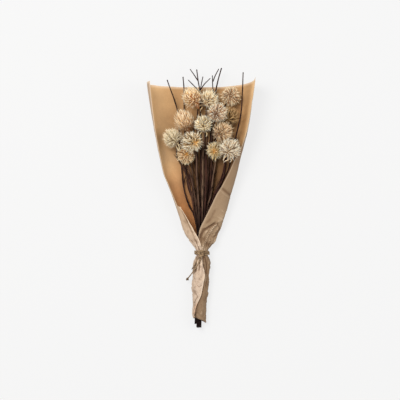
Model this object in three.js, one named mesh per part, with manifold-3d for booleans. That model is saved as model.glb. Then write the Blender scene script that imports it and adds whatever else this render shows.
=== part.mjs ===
// A paper-wrapped bouquet of dried thistles and bare twigs, tied at the waist with jute twine.
// Millimetres, +Z up. The bouquet lies on the back of its paper, with the flower heads
// towards +Y. While it is built, Y = 0 is the twine; at the end the whole group is moved so
// that its origin is the middle of its bounding box, on the surface that it rests on.
import * as THREE from "three";
import { ConvexHull } from "three/addons/math/ConvexHull.js";
import Module from "manifold-3d";

const wasm = await Module();
wasm.setup();

// ---- driving dimensions -------------------------------------------------------------------
const SHEET_THICKNESS = 0.8; // a solid stand-in for paper that is really 0.15 thick
const LAYER_STEP = 1.3; // how far the left flap stands off the right flap that it covers
const STEM_PITCH = 3.5; // spacing of the stems where the twine squeezes them together
const STEM_FOOT_RADIUS = 1.5;
const STEM_NECK_RADIUS = 1.35;
const TWIG_TIP_RADIUS = 0.95;
const TWINE_RADIUS = 1.15;
const TWINE_TURNS = 3;
const TWINE_PITCH = 2.6;
const CLEARANCE = 0.3;
const BRACTS_PER_HEAD = 96;
const WAIST = { x: 2.2, z: 15.0 }; // middle of the stem bundle at the twine

const rad = THREE.MathUtils.degToRad;
const vec = (p) => new THREE.Vector3(...p);
const smooth = (t) => THREE.MathUtils.smoothstep(t, 0, 1);

// A repeatable draw between 0 and 1.
function seeded(seed) {
  let state = seed * 2654435761 % 4294967296;
  return () => {
    state = (state * 1664525 + 1013904223) % 4294967296;
    return state / 4294967296;
  };
}

// A smooth curve through a table of rows sorted by their first column, without overshoot.
function readTable(rows, column, at) {
  const last = rows.length - 1;
  const y = THREE.MathUtils.clamp(at, rows[0][0], rows[last][0]);
  let i = rows.findIndex((row) => row[0] > y) - 1;
  if (i < 0) i = last - 1;
  const slope = (k) => (rows[k + 1][column] - rows[k][column]) / (rows[k + 1][0] - rows[k][0]);
  const tangent = (k) => {
    if (k === 0 || k === last) return 0;
    const [before, after] = [slope(k - 1), slope(k)];
    return before * after <= 0 ? 0 : (2 * before * after) / (before + after);
  };
  const h = rows[i + 1][0] - rows[i][0];
  const t = (y - rows[i][0]) / h;
  const [p, q] = [rows[i][column], rows[i + 1][column]];
  const [m, n] = [tangent(i) * h, tangent(i + 1) * h];
  const t2 = t * t;
  const t3 = t2 * t;
  return (2 * t3 - 3 * t2 + 1) * p + (t3 - 2 * t2 + t) * m + (3 * t2 - 2 * t3) * q + (t3 - t2) * n;
}

// ---- solids from rings and grids ----------------------------------------------------------
function geometryOf(positions, index) {
  const geometry = new THREE.BufferGeometry();
  geometry.setAttribute("position", new THREE.Float32BufferAttribute(positions, 3));
  geometry.setIndex(index);
  geometry.computeVertexNormals();
  return geometry;
}

// A closed round bar along a smooth curve, with a radius that follows the curve.
function taperedBar(points, radiusAt, sides, steps) {
  const curve = new THREE.CatmullRomCurve3(points.map(vec), false, "centripetal");
  const frames = curve.computeFrenetFrames(steps, false);
  const positions = [];
  const index = [];
  for (let i = 0; i <= steps; i++) {
    const t = i / steps;
    const middle = curve.getPointAt(t);
    for (let j = 0; j < sides; j++) {
      const turn = (2 * Math.PI * j) / sides;
      const ray = frames.normals[i].clone().multiplyScalar(Math.cos(turn));
      ray.addScaledVector(frames.binormals[i], Math.sin(turn));
      positions.push(...middle.clone().addScaledVector(ray, radiusAt(t)).toArray());
    }
  }
  for (let i = 0; i < steps; i++)
    for (let j = 0; j < sides; j++) {
      const k = (j + 1) % sides;
      const [a, b] = [i * sides + j, i * sides + k];
      index.push(a, b, a + sides, b, b + sides, a + sides);
    }
  const top = steps * sides;
  for (let j = 1; j < sides - 1; j++) index.push(0, j + 1, j, top, top + j, top + j + 1);
  return geometryOf(positions, index);
}

function solidOf(geometry) {
  return new wasm.Manifold(
    new wasm.Mesh({
      numProp: 3,
      vertProperties: new Float32Array(geometry.attributes.position.array),
      triVerts: new Uint32Array(geometry.index.array),
    }),
  );
}

function fused(geometries) {
  const mesh = wasm.Manifold.union(geometries.map(solidOf)).getMesh();
  return geometryOf([...mesh.vertProperties], [...mesh.triVerts]);
}

// ---- the kraft paper sheet, rolled into a cone and pinched at the waist ----------------------
// Each row is one cross-section of the roll: y, middle x, half width, half height on the
// right, half height on the left, squareness of the section, how far round from the middle of
// the back the right edge reaches, the same for the left edge, and the lift off the table.
const SECTIONS = [
  [-131, -2.9, 12.4, 12.6, 12.6, 2.0, 235, 141, 0],
  [-109, -2.8, 12.6, 12.6, 12.6, 2.0, 235, 147, 0],
  [-80, -1.5, 14.4, 12.8, 12.8, 2.0, 235, 186, 0],
  [-58, -0.6, 15.7, 13.0, 13.0, 2.0, 235, 198, 0],
  [-40, 0.4, 16.1, 13.0, 13.0, 2.0, 235, 202, 0],
  [-20, 1.8, 16.2, 12.8, 12.8, 2.0, 232, 182, 1.4],
  [-9, 2.1, 13.4, 12.0, 12.0, 2.0, 231, 180, 3.2],
  [-4.5, 2.2, 11.05, 11.05, 11.05, 2.0, 230, 179, 3.8],
  [0, 2.2, 10.9, 10.9, 10.9, 2.0, 229, 178, 3.8],
  [4.5, 2.3, 11.05, 11.05, 11.05, 2.0, 224, 176, 3.8],
  [9, 2.8, 13.6, 11.6, 11.6, 2.0, 219, 174, 3.2],
  [25, 2.6, 25.4, 12.6, 12.6, 2.1, 199, 166, 1.0],
  [45, 1.8, 35.8, 14.0, 14.0, 2.1, 187, 154, 0],
  [62, 1.9, 41.2, 15.3, 15.3, 2.2, 177, 143, 0],
  [86, 1.6, 48.9, 17.5, 17.5, 2.3, 165, 129, 0],
  [93, 1.4, 51.2, 18.2, 18.2, 2.35, 162, 112, 0],
  [110, 0.8, 56.5, 20, 20, 2.5, 156, 107, 0],
  [130, 0, 63.2, 22, 23, 2.6, 146, 105, 0],
  [152, -1.0, 70.4, 25, 26.5, 2.7, 137, 104, 0],
  [175, -0.8, 75.7, 29, 30, 2.8, 128, 104, 0],
  [206, -0.2, 82.9, 35, 34, 3, 112, 105, 0],
  [240, 0, 90, 43, 38, 3, 105, 107, 0],
  [282, -0.2, 96.9, 50, 42, 3, 100, 111, 0],
  [334, 0, 103.2, 56, 46, 3, 97, 115, 0],
];
const SHEET_ROWS = [
  -131, -112, -90, -68, -46, -28, -16, -9, -4.5, 0, 4.5, 9, 16, 25, 36, 50, 68, 90, 112, 135,
  158, 182, 210, 245, 285, 320,
];
const SHEET_COLUMNS = 24;
const BACK_SINK = 0.5; // flattens the middle of the back where it lies on the table
const PLEATS = { count: 9, depth: 0.7, reach: 34 };

// The sheet's cut edges aren't level: they follow how it was rolled.
function sheetY(row, angle) {
  const nearFoot = smooth((-70 - row) / 60);
  const nearTop = smooth((row - 240) / 80);
  const foot = -4.5 * Math.sin(rad(angle));
  const corner = angle > 0 ? 15 * (angle / 97) ** 1.3 : 7.5 * (-angle / 114) ** 1.2;
  return row + foot * nearFoot + corner * nearTop;
}

// A point of the sheet: `angle` in degrees from the middle of the back, positive to the
// right, and `depth` below the outer face.
function sheetPoint(y, angle, depth) {
  const read = (column) => readTable(SECTIONS, column, y);
  const power = 2 / read(5);
  const layer = LAYER_STEP * smooth((60 - angle) / 120);
  const height = angle > 0 ? read(3) : read(4);
  const pinch = Math.exp(-((y / PLEATS.reach) ** 2)) * (1 - Math.exp(-((y / 9) ** 2)));
  const wave = 1 - Math.cos(rad(PLEATS.count * angle));
  const out = layer - depth - PLEATS.depth * pinch * wave * smooth((Math.abs(angle) - 60) / 60);
  const sine = Math.sin(rad(angle));
  const cosine = Math.cos(rad(angle));
  const x = read(1) + (read(2) + out) * Math.sign(sine) * Math.abs(sine) ** power;
  const lift = read(8);
  const middle = lift + height + LAYER_STEP / 2 - BACK_SINK;
  const z = middle - (height + out) * Math.sign(cosine) * Math.abs(cosine) ** power;
  return [x, y, Math.max(z, lift + depth)];
}

function paperGeometry() {
  const positions = [];
  const index = [];
  const rows = SHEET_ROWS.length;
  const columns = SHEET_COLUMNS;
  for (const depth of [0, SHEET_THICKNESS])
    for (const row of SHEET_ROWS)
      for (let c = 0; c < columns; c++) {
        const left = -readTable(SECTIONS, 7, row);
        const right = readTable(SECTIONS, 6, row);
        const share = (2 * c) / (columns - 1) - 1;
        const flat = 8 * Math.sign(share);
        const reach = (Math.abs(share) * (columns - 1) - 1) / (columns - 2);
        const angle = flat + reach * ((share < 0 ? left : right) - flat);
        positions.push(...sheetPoint(sheetY(row, angle), angle, depth));
      }
  const inner = rows * columns;
  const quad = (a, b, c, d) => index.push(a, b, c, a, c, d);
  for (let r = 0; r < rows - 1; r++)
    for (let c = 0; c < columns - 1; c++) {
      const a = r * columns + c;
      quad(a, a + columns, a + columns + 1, a + 1);
      quad(inner + a, inner + a + 1, inner + a + columns + 1, inner + a + columns);
    }
  for (let c = 0; c < columns - 1; c++) {
    const top = (rows - 1) * columns + c;
    quad(c, c + 1, inner + c + 1, inner + c);
    quad(top, inner + top, inner + top + 1, top + 1);
  }
  for (let r = 0; r < rows - 1; r++) {
    const left = r * columns;
    const right = left + columns - 1;
    quad(left, inner + left, inner + left + columns, left + columns);
    quad(right, right + columns, inner + right + columns, inner + right);
  }
  return geometryOf(positions, index);
}

// ---- thistle heads ------------------------------------------------------------------------
// Each head: where its middle is, which way its tip points, its radius, how much longer than
// wide it is, the slot of its stem in the tied bundle (row up from the middle row, place from
// the left) and the points that its stem is led through between the waist and the head.
const HEADS = [
  { at: [-17, 298, 42], tip: [-0.6, 0.6, 0.5], radius: 18.5, long: 1.1, slot: [0, 1],
    via: [[-3, 70, 12.6], [-7, 140, 11.5], [-8, 200, 12], [-8, 256, 18]] },
  { at: [14.5, 294, 21.6], tip: [0.25, 0.85, 0.35], radius: 18.5, long: 1, slot: [-1, 2],
    via: [[5.5, 120, 9], [7, 200, 9], [9, 258, 9.5]] },
  { at: [57, 301, 28.5], tip: [0.15, 0.25, 0.95], radius: 18.5, long: 1, slot: [-2, 3],
    via: [[13.5, 120, 5.4], [23, 190, 5], [31, 245, 5.5], [42, 278, 6]] },
  { at: [30.7, 268, 48], tip: [0.15, 0.35, 0.92], radius: 18.5, long: 1, slot: [0, 2],
    via: [[6.5, 70, 14.2], [10.5, 120, 13], [16, 190, 11], [22, 232, 18]] },
  { at: [55, 260.5, 21.8], tip: [0.1, 0.85, 0.4], radius: 17, long: 1.05, slot: [-1, 4],
    via: [[27, 117, 9.5], [38, 142, 9.5], [46, 172, 9], [50, 208, 8.5]] },
  { at: [-32.7, 253.5, 28.5], tip: [-0.35, 0.85, 0.35], radius: 18.5, long: 1.3, slot: [0, 0],
    via: [[-9, 70, 14.6], [-14.5, 120, 13], [-20, 190, 9], [-22, 214, 13]] },
  { at: [4.2, 246.5, 33.5], tip: [-0.1, 0.85, 0.5], radius: 17.5, long: 1.1, slot: [2, 1],
    via: [[2, 70, 21.6], [2.5, 120, 22.5], [3.5, 190, 21]] },
  { at: [40, 231.5, 38], tip: [0.7, 0.5, 0.5], radius: 19.5, long: 1.05, slot: [0, 3],
    via: [[12, 70, 13.4], [18, 120, 11.5], [25.5, 165, 8], [28, 184, 7.5], [29.5, 202, 9]] },
  { at: [-55, 219.5, 34], tip: [-0.65, 0.68, 0.33], radius: 19, long: 1.05, slot: [1, 0],
    via: [[-17, 100, 18.5], [-22, 125, 19.5], [-29.5, 152, 15.5], [-40, 174, 16.5], [-48, 192, 23]] },
  { at: [-18, 212.5, 54.5], tip: [0.3, -0.1, 0.95], radius: 20.5, long: 1, slot: [2, 0],
    via: [[-5.5, 100, 23], [-9, 155, 26], [-10.2, 187, 32]] },
  { at: [27, 197, 27.5], tip: [-0.2, 0.3, 0.93], radius: 16, long: 1.15, slot: [1, 3],
    via: [[12.5, 90, 16.5], [18.5, 110, 16], [23, 145, 14]] },
  { at: [54.5, 198, 53], tip: [0.5, 0.6, 0.6], radius: 20, long: 1.05, slot: [2, 3],
    via: [[15, 80, 23], [27, 115, 26], [38, 134, 28.5], [44, 150, 30]] },
  { at: [-29.6, 187.3, 28.5], tip: [0.1, 0.15, 0.98], radius: 17, long: 1, slot: [1, 1],
    via: [[-9.5, 90, 19], [-19.5, 145, 17]] },
];

// How far a bract reaches from the middle of the head, by its angle from the tip: full
// length over the tip and sides, shorter in the cup that holds the stem.
const bractReach = (angle) => 1 - 0.42 * smooth((angle - 105) / 65);

// A dense ball of pointed bracts. The bract roots are the corners of a hull laid over evenly
// spread points, so that every bract has its own hollow all round it.
function headGeometry({ at, tip, radius, long }, seed) {
  const draw = seeded(seed);
  const axis = vec(tip).normalize();
  const turned = new THREE.Quaternion().setFromUnitVectors(new THREE.Vector3(0, 0, 1), axis);
  const golden = Math.PI * (3 - Math.sqrt(5));
  const sites = [];
  for (let i = 0; i < BRACTS_PER_HEAD; i++) {
    const z = 1 - (2 * i) / (BRACTS_PER_HEAD - 1);
    const r = Math.sqrt(Math.max(0, 1 - z * z));
    sites.push(new THREE.Vector3(r * Math.cos(i * golden), r * Math.sin(i * golden), z));
  }
  const place = (direction, reach, lean) => {
    const leaned = direction.clone();
    leaned.z += lean * (1 - direction.z * direction.z);
    leaned.normalize().multiplyScalar(radius * reach);
    leaned.z *= long;
    return leaned.applyQuaternion(turned).add(vec(at)).toArray();
  };
  const angleOf = (direction) => THREE.MathUtils.radToDeg(Math.acos(direction.z));
  const positions = [];
  sites.forEach((site, i) => {
    const ragged = i === sites.length - 1 ? 1 : 1 - 0.06 * draw();
    positions.push(...place(site, bractReach(angleOf(site)) * ragged, 0.12));
  });
  const hull = new ConvexHull().setFromPoints(sites);
  const faceIndex = new Map();
  hull.faces.forEach((face, f) => {
    faceIndex.set(face, BRACTS_PER_HEAD + f);
    const middle = face.midpoint.clone().normalize();
    const angle = angleOf(middle);
    const core = 0.6 + 0.28 * smooth((angle - 120) / 50);
    positions.push(...place(middle, bractReach(angle) * core, 0.04));
  });
  const siteIndex = new Map(sites.map((site, i) => [site, i]));
  const index = [];
  for (const face of hull.faces) {
    let edge = face.edge;
    do {
      index.push(siteIndex.get(edge.tail().point));
      index.push(faceIndex.get(edge.twin.face), faceIndex.get(face));
      edge = edge.next;
    } while (edge !== face.edge);
  }
  return geometryOf(positions, index);
}

// ---- stems and twigs ----------------------------------------------------------------------
const SLOT_ROWS = { "-2": 4, "-1": 5, 0: 4, 1: 5, 2: 4 };
const BUNDLE_DRIFT = [ // y, middle x of the bundle, middle z of the bundle
  [-150, -4.6, 10.7],
  [-110, -4.0, 10.7],
  [-60, -1.6, 10.8],
  [-16, 1.8, 13.2],
  [0, WAIST.x, WAIST.z],
  [16, 2.6, 14.2],
];

function bundlePoint([row, place], y) {
  const x = (place - (SLOT_ROWS[row] - 1) / 2) * STEM_PITCH;
  const z = row * STEM_PITCH * Math.sin(Math.PI / 3);
  return [readTable(BUNDLE_DRIFT, 1, y) + x, y, readTable(BUNDLE_DRIFT, 2, y) + z];
}

// The bundle is cut in steps: the left side reaches furthest out of the paper.
function footY(slot) {
  const x = bundlePoint(slot, -140)[0];
  if (x > -0.5) return -124;
  return x < -9.5 ? -138 : -145;
}

const stemRoute = (slot) => [footY(slot), -100, -60, -16, 0, 16].map((y) => bundlePoint(slot, y));

// Stems that lost their heads: they end among the others, below the flowers.
const BARE_STEMS = [
  { slot: [2, 2], via: [[8.5, 120, 21], [10, 190, 23], [12.5, 224, 26]] },
  { slot: [1, 2], via: [[2.2, 70, 16.6], [0.5, 120, 14.5], [0.5, 170, 14], [1, 220, 14]] },
  { slot: [-1, 3], via: [[10.2, 70, 10], [16.5, 120, 7.8], [20, 180, 9.5], [22.5, 226, 9.5]] },
  { slot: [-2, 0], via: [[-7, 120, 5], [-13, 190, 5], [-15, 240, 6]] },
];

function stemGeometry({ at, tip, radius, long, slot, via }) {
  const axis = vec(tip).normalize();
  const cup = radius * long * bractReach(180) + CLEARANCE;
  const end = vec(at).addScaledVector(axis, -cup);
  const neck = end.clone().addScaledVector(axis, -6);
  return bareStemGeometry({ slot, via: [...via, neck.toArray(), end.toArray()] });
}

function bareStemGeometry({ slot, via }) {
  const radiusAt = (t) => THREE.MathUtils.lerp(STEM_FOOT_RADIUS, STEM_NECK_RADIUS, t);
  return taperedBar([...stemRoute(slot), ...via], radiusAt, 5, 15);
}

// Bare twigs: a main shoot from the bundle, then side shoots as [from, ..., tip] lists. Each
// shoot ends in a bud.
const TWIGS = [
  { slot: [-1, 0], main: [[-14, 72, 8], [-24, 92, 7], [-32.5, 119, 7], [-35, 134, 8],
    [-38, 168, 9], [-42, 215, 9], [-45.5, 272, 12], [-65, 331, 26]],
    shoots: [[[-34.5, 132, 8], [-29, 150, 12], [-27, 160, 13]]] },
  { slot: [-1, 1], main: [[-17, 102, 9], [-25.5, 127, 8], [-29, 160, 6], [-31, 215, 5.5],
    [-33, 270, 6], [-33.5, 319, 14], [-35, 337, 22]],
    shoots: [[[-29, 158, 6], [-35, 172, 4.5], [-38, 184, 4.5]]] },
  { slot: [-2, 1], main: [[-1, 120, 5], [-1.5, 200, 4.5], [-2, 275, 5], [-2, 307, 9],
    [-6, 332, 18], [-8.5, 351, 24]],
    shoots: [[[-6, 331, 17.6], [-12, 340, 22], [-20.5, 352, 26]],
      [[-2, 303, 8], [-1, 318, 14], [3, 338, 20]],
      [[-1, 315, 12], [6, 325, 18], [16.5, 335, 24]],
      [[-3.5, 312, 11], [-12, 320, 15], [-24, 332, 20]]] },
  { slot: [-2, 2], main: [[10, 120, 4.8], [16, 200, 4.5], [22, 268, 5], [26.5, 303, 7.5],
    [32, 331, 17], [38.5, 354, 23]],
    shoots: [[[26, 299, 6.8], [22.5, 318, 13], [21.5, 340, 24]],
      [[22.5, 330, 20], [27, 341, 26], [33, 352, 32]]] },
  { slot: [1, 4], main: [[21.5, 70, 22], [34.5, 121, 25], [53, 163, 23], [57, 181, 24],
    [62, 200, 23.5], [67, 225, 27], [76, 267, 37], [78.5, 304, 42], [80, 344, 44]],
    shoots: [] },
];

function bud(point, direction, size) {
  const geometry = new THREE.IcosahedronGeometry(size, 0).scale(1, 1, 2);
  const ball = new THREE.Quaternion().setFromUnitVectors(new THREE.Vector3(0, 0, 1), direction);
  geometry.applyQuaternion(ball).translate(...point);
  const merged = new Map();
  const positions = [];
  const index = [];
  const source = geometry.attributes.position;
  for (let i = 0; i < source.count; i++) {
    const p = [source.getX(i), source.getY(i), source.getZ(i)];
    const key = p.map((value) => value.toFixed(3)).join();
    if (!merged.has(key)) {
      merged.set(key, merged.size);
      positions.push(...p);
    }
    index.push(merged.get(key));
  }
  return geometryOf(positions, index);
}

function twigGeometry({ slot, main, shoots }) {
  const pieces = [];
  const shoot = (points, from, to, steps) => {
    pieces.push(taperedBar(points, (t) => THREE.MathUtils.lerp(from, to, t), 5, steps));
    const [before, end] = points.slice(-2).map(vec);
    const direction = end.clone().sub(before).normalize();
    pieces.push(bud(points.at(-1), direction, to * 1.5));
  };
  shoot([...stemRoute(slot), ...main], STEM_FOOT_RADIUS, TWIG_TIP_RADIUS * 1.1, 17);
  for (const points of shoots) shoot(points, TWIG_TIP_RADIUS * 1.1, TWIG_TIP_RADIUS * 0.8, 4);
  return fused(pieces);
}

// ---- jute twine ---------------------------------------------------------------------------
const COIL_RADIUS = 13.77; // clears both layers of paper at the waist
const COIL = { x: WAIST.x - LAYER_STEP / 2, z: 15 };
const KNOT = [0.5, -3, COIL.z + COIL_RADIUS + 1.6];
const TAILS = {
  twine_tail_long: [[1, -9.5, 30.5], [-3.5, -17, 29.8], [-11.5, -30, 26], [-18, -39.5, 21],
    [-23, -46, 17], [-26.5, -51, 13]],
  twine_tail_short: [[-4.5, -8, 29.8], [-8.5, -15.5, 28], [-13.5, -24, 24], [-18, -32, 18.5]],
};

function bindingGeometry() {
  const turns = [];
  const half = (TWINE_TURNS * TWINE_PITCH) / 2;
  const steps = 16 * TWINE_TURNS;
  for (let i = 0; i <= steps; i++) {
    const turn = (2 * Math.PI * TWINE_TURNS * i) / steps;
    const y = -half + (2 * half * i) / steps;
    const x = COIL.x + COIL_RADIUS * Math.sin(turn + 0.3);
    turns.push([x, y, COIL.z + COIL_RADIUS * Math.cos(turn + 0.3)]);
  }
  const loop = (tilt, lean, size) => {
    const ring = new THREE.TorusGeometry(size, TWINE_RADIUS, 6, 10);
    ring.scale(1, 1.35, 1).rotateX(tilt).rotateZ(lean).translate(...KNOT);
    return weld(ring);
  };
  const coil = taperedBar(turns, () => TWINE_RADIUS, 6, steps);
  return fused([coil, loop(rad(14), rad(40), 2.8), loop(rad(-16), rad(-35), 2.5)]);
}

// Joins the doubled corners along a torus's seams, so that its surface is closed.
function weld(geometry) {
  const source = geometry.attributes.position;
  const seen = new Map();
  const positions = [];
  const place = [];
  for (let i = 0; i < source.count; i++) {
    const p = [source.getX(i), source.getY(i), source.getZ(i)];
    const key = p.map((value) => (Math.round(value * 1e3) / 1e3 + 0).toFixed(3)).join();
    if (!seen.has(key)) {
      seen.set(key, seen.size);
      positions.push(...p);
    }
    place.push(seen.get(key));
  }
  const corners = geometry.index ? [...geometry.index.array] : place.map((_, i) => i);
  const index = [];
  for (let i = 0; i < corners.length; i += 3) {
    const [a, b, c] = corners.slice(i, i + 3).map((corner) => place[corner]);
    if (a !== b && b !== c && c !== a) index.push(a, b, c);
  }
  return geometryOf(positions, index);
}

// ---- assembly -----------------------------------------------------------------------------
const finish = (color, roughness) =>
  new THREE.MeshStandardMaterial({ color, roughness, metalness: 0 });
const FINISHES = {
  paper: () => finish(0xc8a47a, 0.9),
  head: () => finish(0xe2cda4, 0.95),
  stem: () => finish(0x4a3427, 0.85),
  twig: () => finish(0x3a2420, 0.8),
  twine: () => finish(0xa98f6c, 0.95),
};

const bouquet = new THREE.Group();
function add(name, geometry, kind) {
  const mesh = new THREE.Mesh(geometry, FINISHES[kind]());
  mesh.name = name;
  bouquet.add(mesh);
}

const numbered = (name, i) => `${name}_${String(i + 1).padStart(2, "0")}`;
add("kraft_paper", paperGeometry(), "paper");
HEADS.forEach((head, i) => {
  add(numbered("thistle_head", i), headGeometry(head, i + 1), "head");
  add(numbered("thistle_stem", i), stemGeometry(head), "stem");
});
BARE_STEMS.forEach((stem, i) => add(numbered("bare_stem", i), bareStemGeometry(stem), "stem"));
TWIGS.forEach((twig, i) => add(numbered("twig", i), twigGeometry(twig), "twig"));
add("twine_binding", bindingGeometry(), "twine");
for (const [name, points] of Object.entries(TAILS))
  add(name, taperedBar(points, () => TWINE_RADIUS, 8, 10), "twine");

const box = new THREE.Box3().setFromObject(bouquet);
const middle = box.getCenter(new THREE.Vector3());
const group = new THREE.Group();
bouquet.position.set(-middle.x, -middle.y, -box.min.z);
group.add(bouquet);

export default group;
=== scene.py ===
"""Dried thistles and bare twigs in a cone of kraft paper, tied with jute twine.

Shapes are worked out in millimetres with Y = 0 at the twine, and then moved into the row frame.
"""
import math

import bpy
import numpy as np
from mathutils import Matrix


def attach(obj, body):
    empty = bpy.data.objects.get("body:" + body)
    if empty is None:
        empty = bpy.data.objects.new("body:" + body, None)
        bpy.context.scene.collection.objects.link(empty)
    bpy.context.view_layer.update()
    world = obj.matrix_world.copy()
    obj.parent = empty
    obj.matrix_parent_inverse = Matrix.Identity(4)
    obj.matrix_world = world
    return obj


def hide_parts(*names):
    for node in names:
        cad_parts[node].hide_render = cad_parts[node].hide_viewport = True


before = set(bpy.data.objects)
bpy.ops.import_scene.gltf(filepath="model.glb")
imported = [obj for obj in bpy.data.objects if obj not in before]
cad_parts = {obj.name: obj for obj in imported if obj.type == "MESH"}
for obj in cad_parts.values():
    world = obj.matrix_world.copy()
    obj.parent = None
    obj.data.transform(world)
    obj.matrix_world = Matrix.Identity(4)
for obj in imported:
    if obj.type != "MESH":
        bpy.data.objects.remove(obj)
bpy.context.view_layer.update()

# ---- camera, light and floor -------------------------------------------------------------------
# The bouquet lies on a pale table and the camera looks straight down on it. A large soft light
# stands behind it on the left, and a weaker one on the right.
CAMERA_AT = (-0.0019, -0.0041, 3.0)
FRAME_WIDTH, FRAME_LEVEL = 0.768, 0.03  # the view's width at this level above the table
SENSOR = 36
SKY_STRENGTH = 0.76
camera_data = bpy.data.cameras.new("camera")
camera_data.sensor_width = SENSOR
camera_data.lens = SENSOR * (CAMERA_AT[2] - FRAME_LEVEL) / FRAME_WIDTH
camera = bpy.data.objects.new("camera", camera_data)
camera.location = CAMERA_AT
scene = bpy.context.scene
scene.collection.objects.link(camera)
bpy.context.scene.camera = camera
scene.view_settings.view_transform = "Standard"
scene.view_settings.look = "None"
world = bpy.data.worlds.new("studio")
world.use_nodes = True
sky = world.node_tree.nodes["Background"]
sky.inputs["Color"].default_value = (1, 1, 1, 1)
sky.inputs["Strength"].default_value = SKY_STRENGTH
scene.world = world


def soft_light(name, place, size, power, colour):
    """A round lamp of the given diameter and power that faces the middle of the table."""
    data = bpy.data.lights.new(name, "AREA")
    data.shape = "DISK"
    data.size = size
    data.energy = power
    data.color = colour
    light = bpy.data.objects.new(name, data)
    light.location = place
    aim = -np.array(place)
    heading = math.atan2(aim[0], -aim[1])
    fall = math.atan2(-aim[2], math.hypot(aim[0], aim[1]))
    light.rotation_euler = (math.pi / 2 - fall, 0, heading + math.pi)
    scene.collection.objects.link(light)


soft_light("key", (-0.95, 0.9, 2.5), 1.3, 60, (1.0, 0.985, 0.965))
soft_light("fill", (1.9, 0.2, 1.9), 1.6, 17, (1.0, 0.99, 0.98))

FLOOR_REACH, FLOOR_DROP = 12.0, 0.0006  # half its side, and how far it lies below the paper
floor_mesh = bpy.data.meshes.new("floor")
corners = [(x * FLOOR_REACH, y * FLOOR_REACH, 0) for x, y in ((-1, -1), (1, -1), (1, 1), (-1, 1))]
floor_mesh.from_pydata(corners, [], [(0, 1, 2, 3)])
floor = bpy.data.objects.new("floor", floor_mesh)
scene.collection.objects.link(floor)
floor_look = bpy.data.materials.new("studio_floor")
floor_look.use_nodes = True
floor_shader = floor_look.node_tree.nodes["Principled BSDF"]
FLOOR_FINISH = {"Roughness": 0.9, "Specular IOR Level": 0.0, "Base Color": (0.12, 0.12, 0.12, 1),
                "Emission Color": (1, 1, 1, 1), "Emission Strength": 0.742}
for socket, value in FLOOR_FINISH.items():
    floor_shader.inputs[socket].default_value = value
floor_mesh.materials.append(floor_look)
floor.location.z = -FLOOR_DROP
floor.visible_diffuse = False

# ---- the long end of the twine -----------------------------------------------------------------
# Two-millimetre jute, three loosely twisted strands of pale brown fibre. The long end leaves the
# knot, crosses the paper, hangs past its left side and is finished with a small overhand knot.
LONG_TAIL = [[1, -9.5, 30.5], [-3.5, -17, 29.8], [-11.5, -30, 26], [-18, -39.5, 21],
             [-23, -46, 17], [-26.5, -51, 13]]
SHIFT = np.array([0.403, -105.854, 0.0])  # from the twine's frame to the row frame, mm
UP = np.array([0.0, 0.0, 1.0])


def to_row(points):
    """Row-frame metres from millimetres in the twine's frame."""
    return (np.asarray(points, float) + SHIFT) / 1000


def smooth(t):
    """0 below 0, 1 above 1, and an even S between them: three t squared less two t cubed."""
    t = np.clip(t, 0, 1)
    return t * t * (3 - 2 * t)


def unit(v):
    """Vectors divided by their own lengths."""
    return v / np.maximum(np.linalg.norm(v, axis=-1, keepdims=True), 1e-9)


def noise3(p, size, seed):
    """Smooth noise from -1 to 1: random values on a cubic lattice, blended inside each cell."""
    lattice = 32
    table = np.random.default_rng(seed).uniform(-1, 1, (lattice,) * 3)
    q = np.asarray(p, float) / size
    cell = np.floor(q).astype(int)
    f = smooth(q - cell)
    total = np.zeros(q.shape[:-1])
    for corner in np.ndindex(2, 2, 2):
        share = np.prod(np.where(corner, f, 1 - f), axis=-1)
        total += share * table[tuple(np.moveaxis((cell + corner) % lattice, -1, 0))]
    return total


def run_along(line):
    """How far along a line each of its points lies."""
    return np.concatenate([[0], np.cumsum(np.linalg.norm(np.diff(line, axis=0), axis=1))])


def catmull(points, count):
    """Evenly spaced points on the centripetal Catmull-Rom curve through the given ones."""
    p = np.asarray(points, float)
    p = np.vstack([2 * p[0] - p[1], p, 2 * p[-1] - p[-2]])
    fine = []
    for a, b, c, d in zip(p, p[1:], p[2:], p[3:]):
        k = np.cumsum([0] + [np.linalg.norm(v) ** 0.5 for v in (b - a, c - b, d - c)])
        t = np.linspace(k[1], k[2], 25)[:, None]

        def mix(low, high, u, v):
            return (low * (v - t) + high * (t - u)) / (v - u)

        ab, bc, cd = mix(a, b, k[0], k[1]), mix(b, c, k[1], k[2]), mix(c, d, k[2], k[3])
        fine.append(mix(mix(ab, bc, k[0], k[2]), mix(bc, cd, k[1], k[3]), k[1], k[2])[:-1])
    fine = np.vstack(fine + [p[-2:-1]])
    run = run_along(fine)
    want = np.linspace(0, run[-1], count)
    return np.column_stack([np.interp(want, run, fine[:, k]) for k in range(3)])


def joined(parts):
    """Parts as one: points, quads, triangles and attributes. Each part is such a tuple of four."""
    points, quads, triangles, attributes, base = [], [], [], {}, 0
    for p, q, t, a in parts:
        points.append(p)
        quads.append(np.asarray(q, int).reshape(-1, 4) + base)
        triangles.append(np.asarray(t, int).reshape(-1, 3) + base)
        for key, values in a.items():
            attributes.setdefault(key, []).append(np.broadcast_to(values, len(p)))
        base += len(p)
    attributes = {key: np.concatenate(values) for key, values in attributes.items()}
    return np.vstack(points), np.vstack(quads), np.vstack(triangles), attributes


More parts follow.
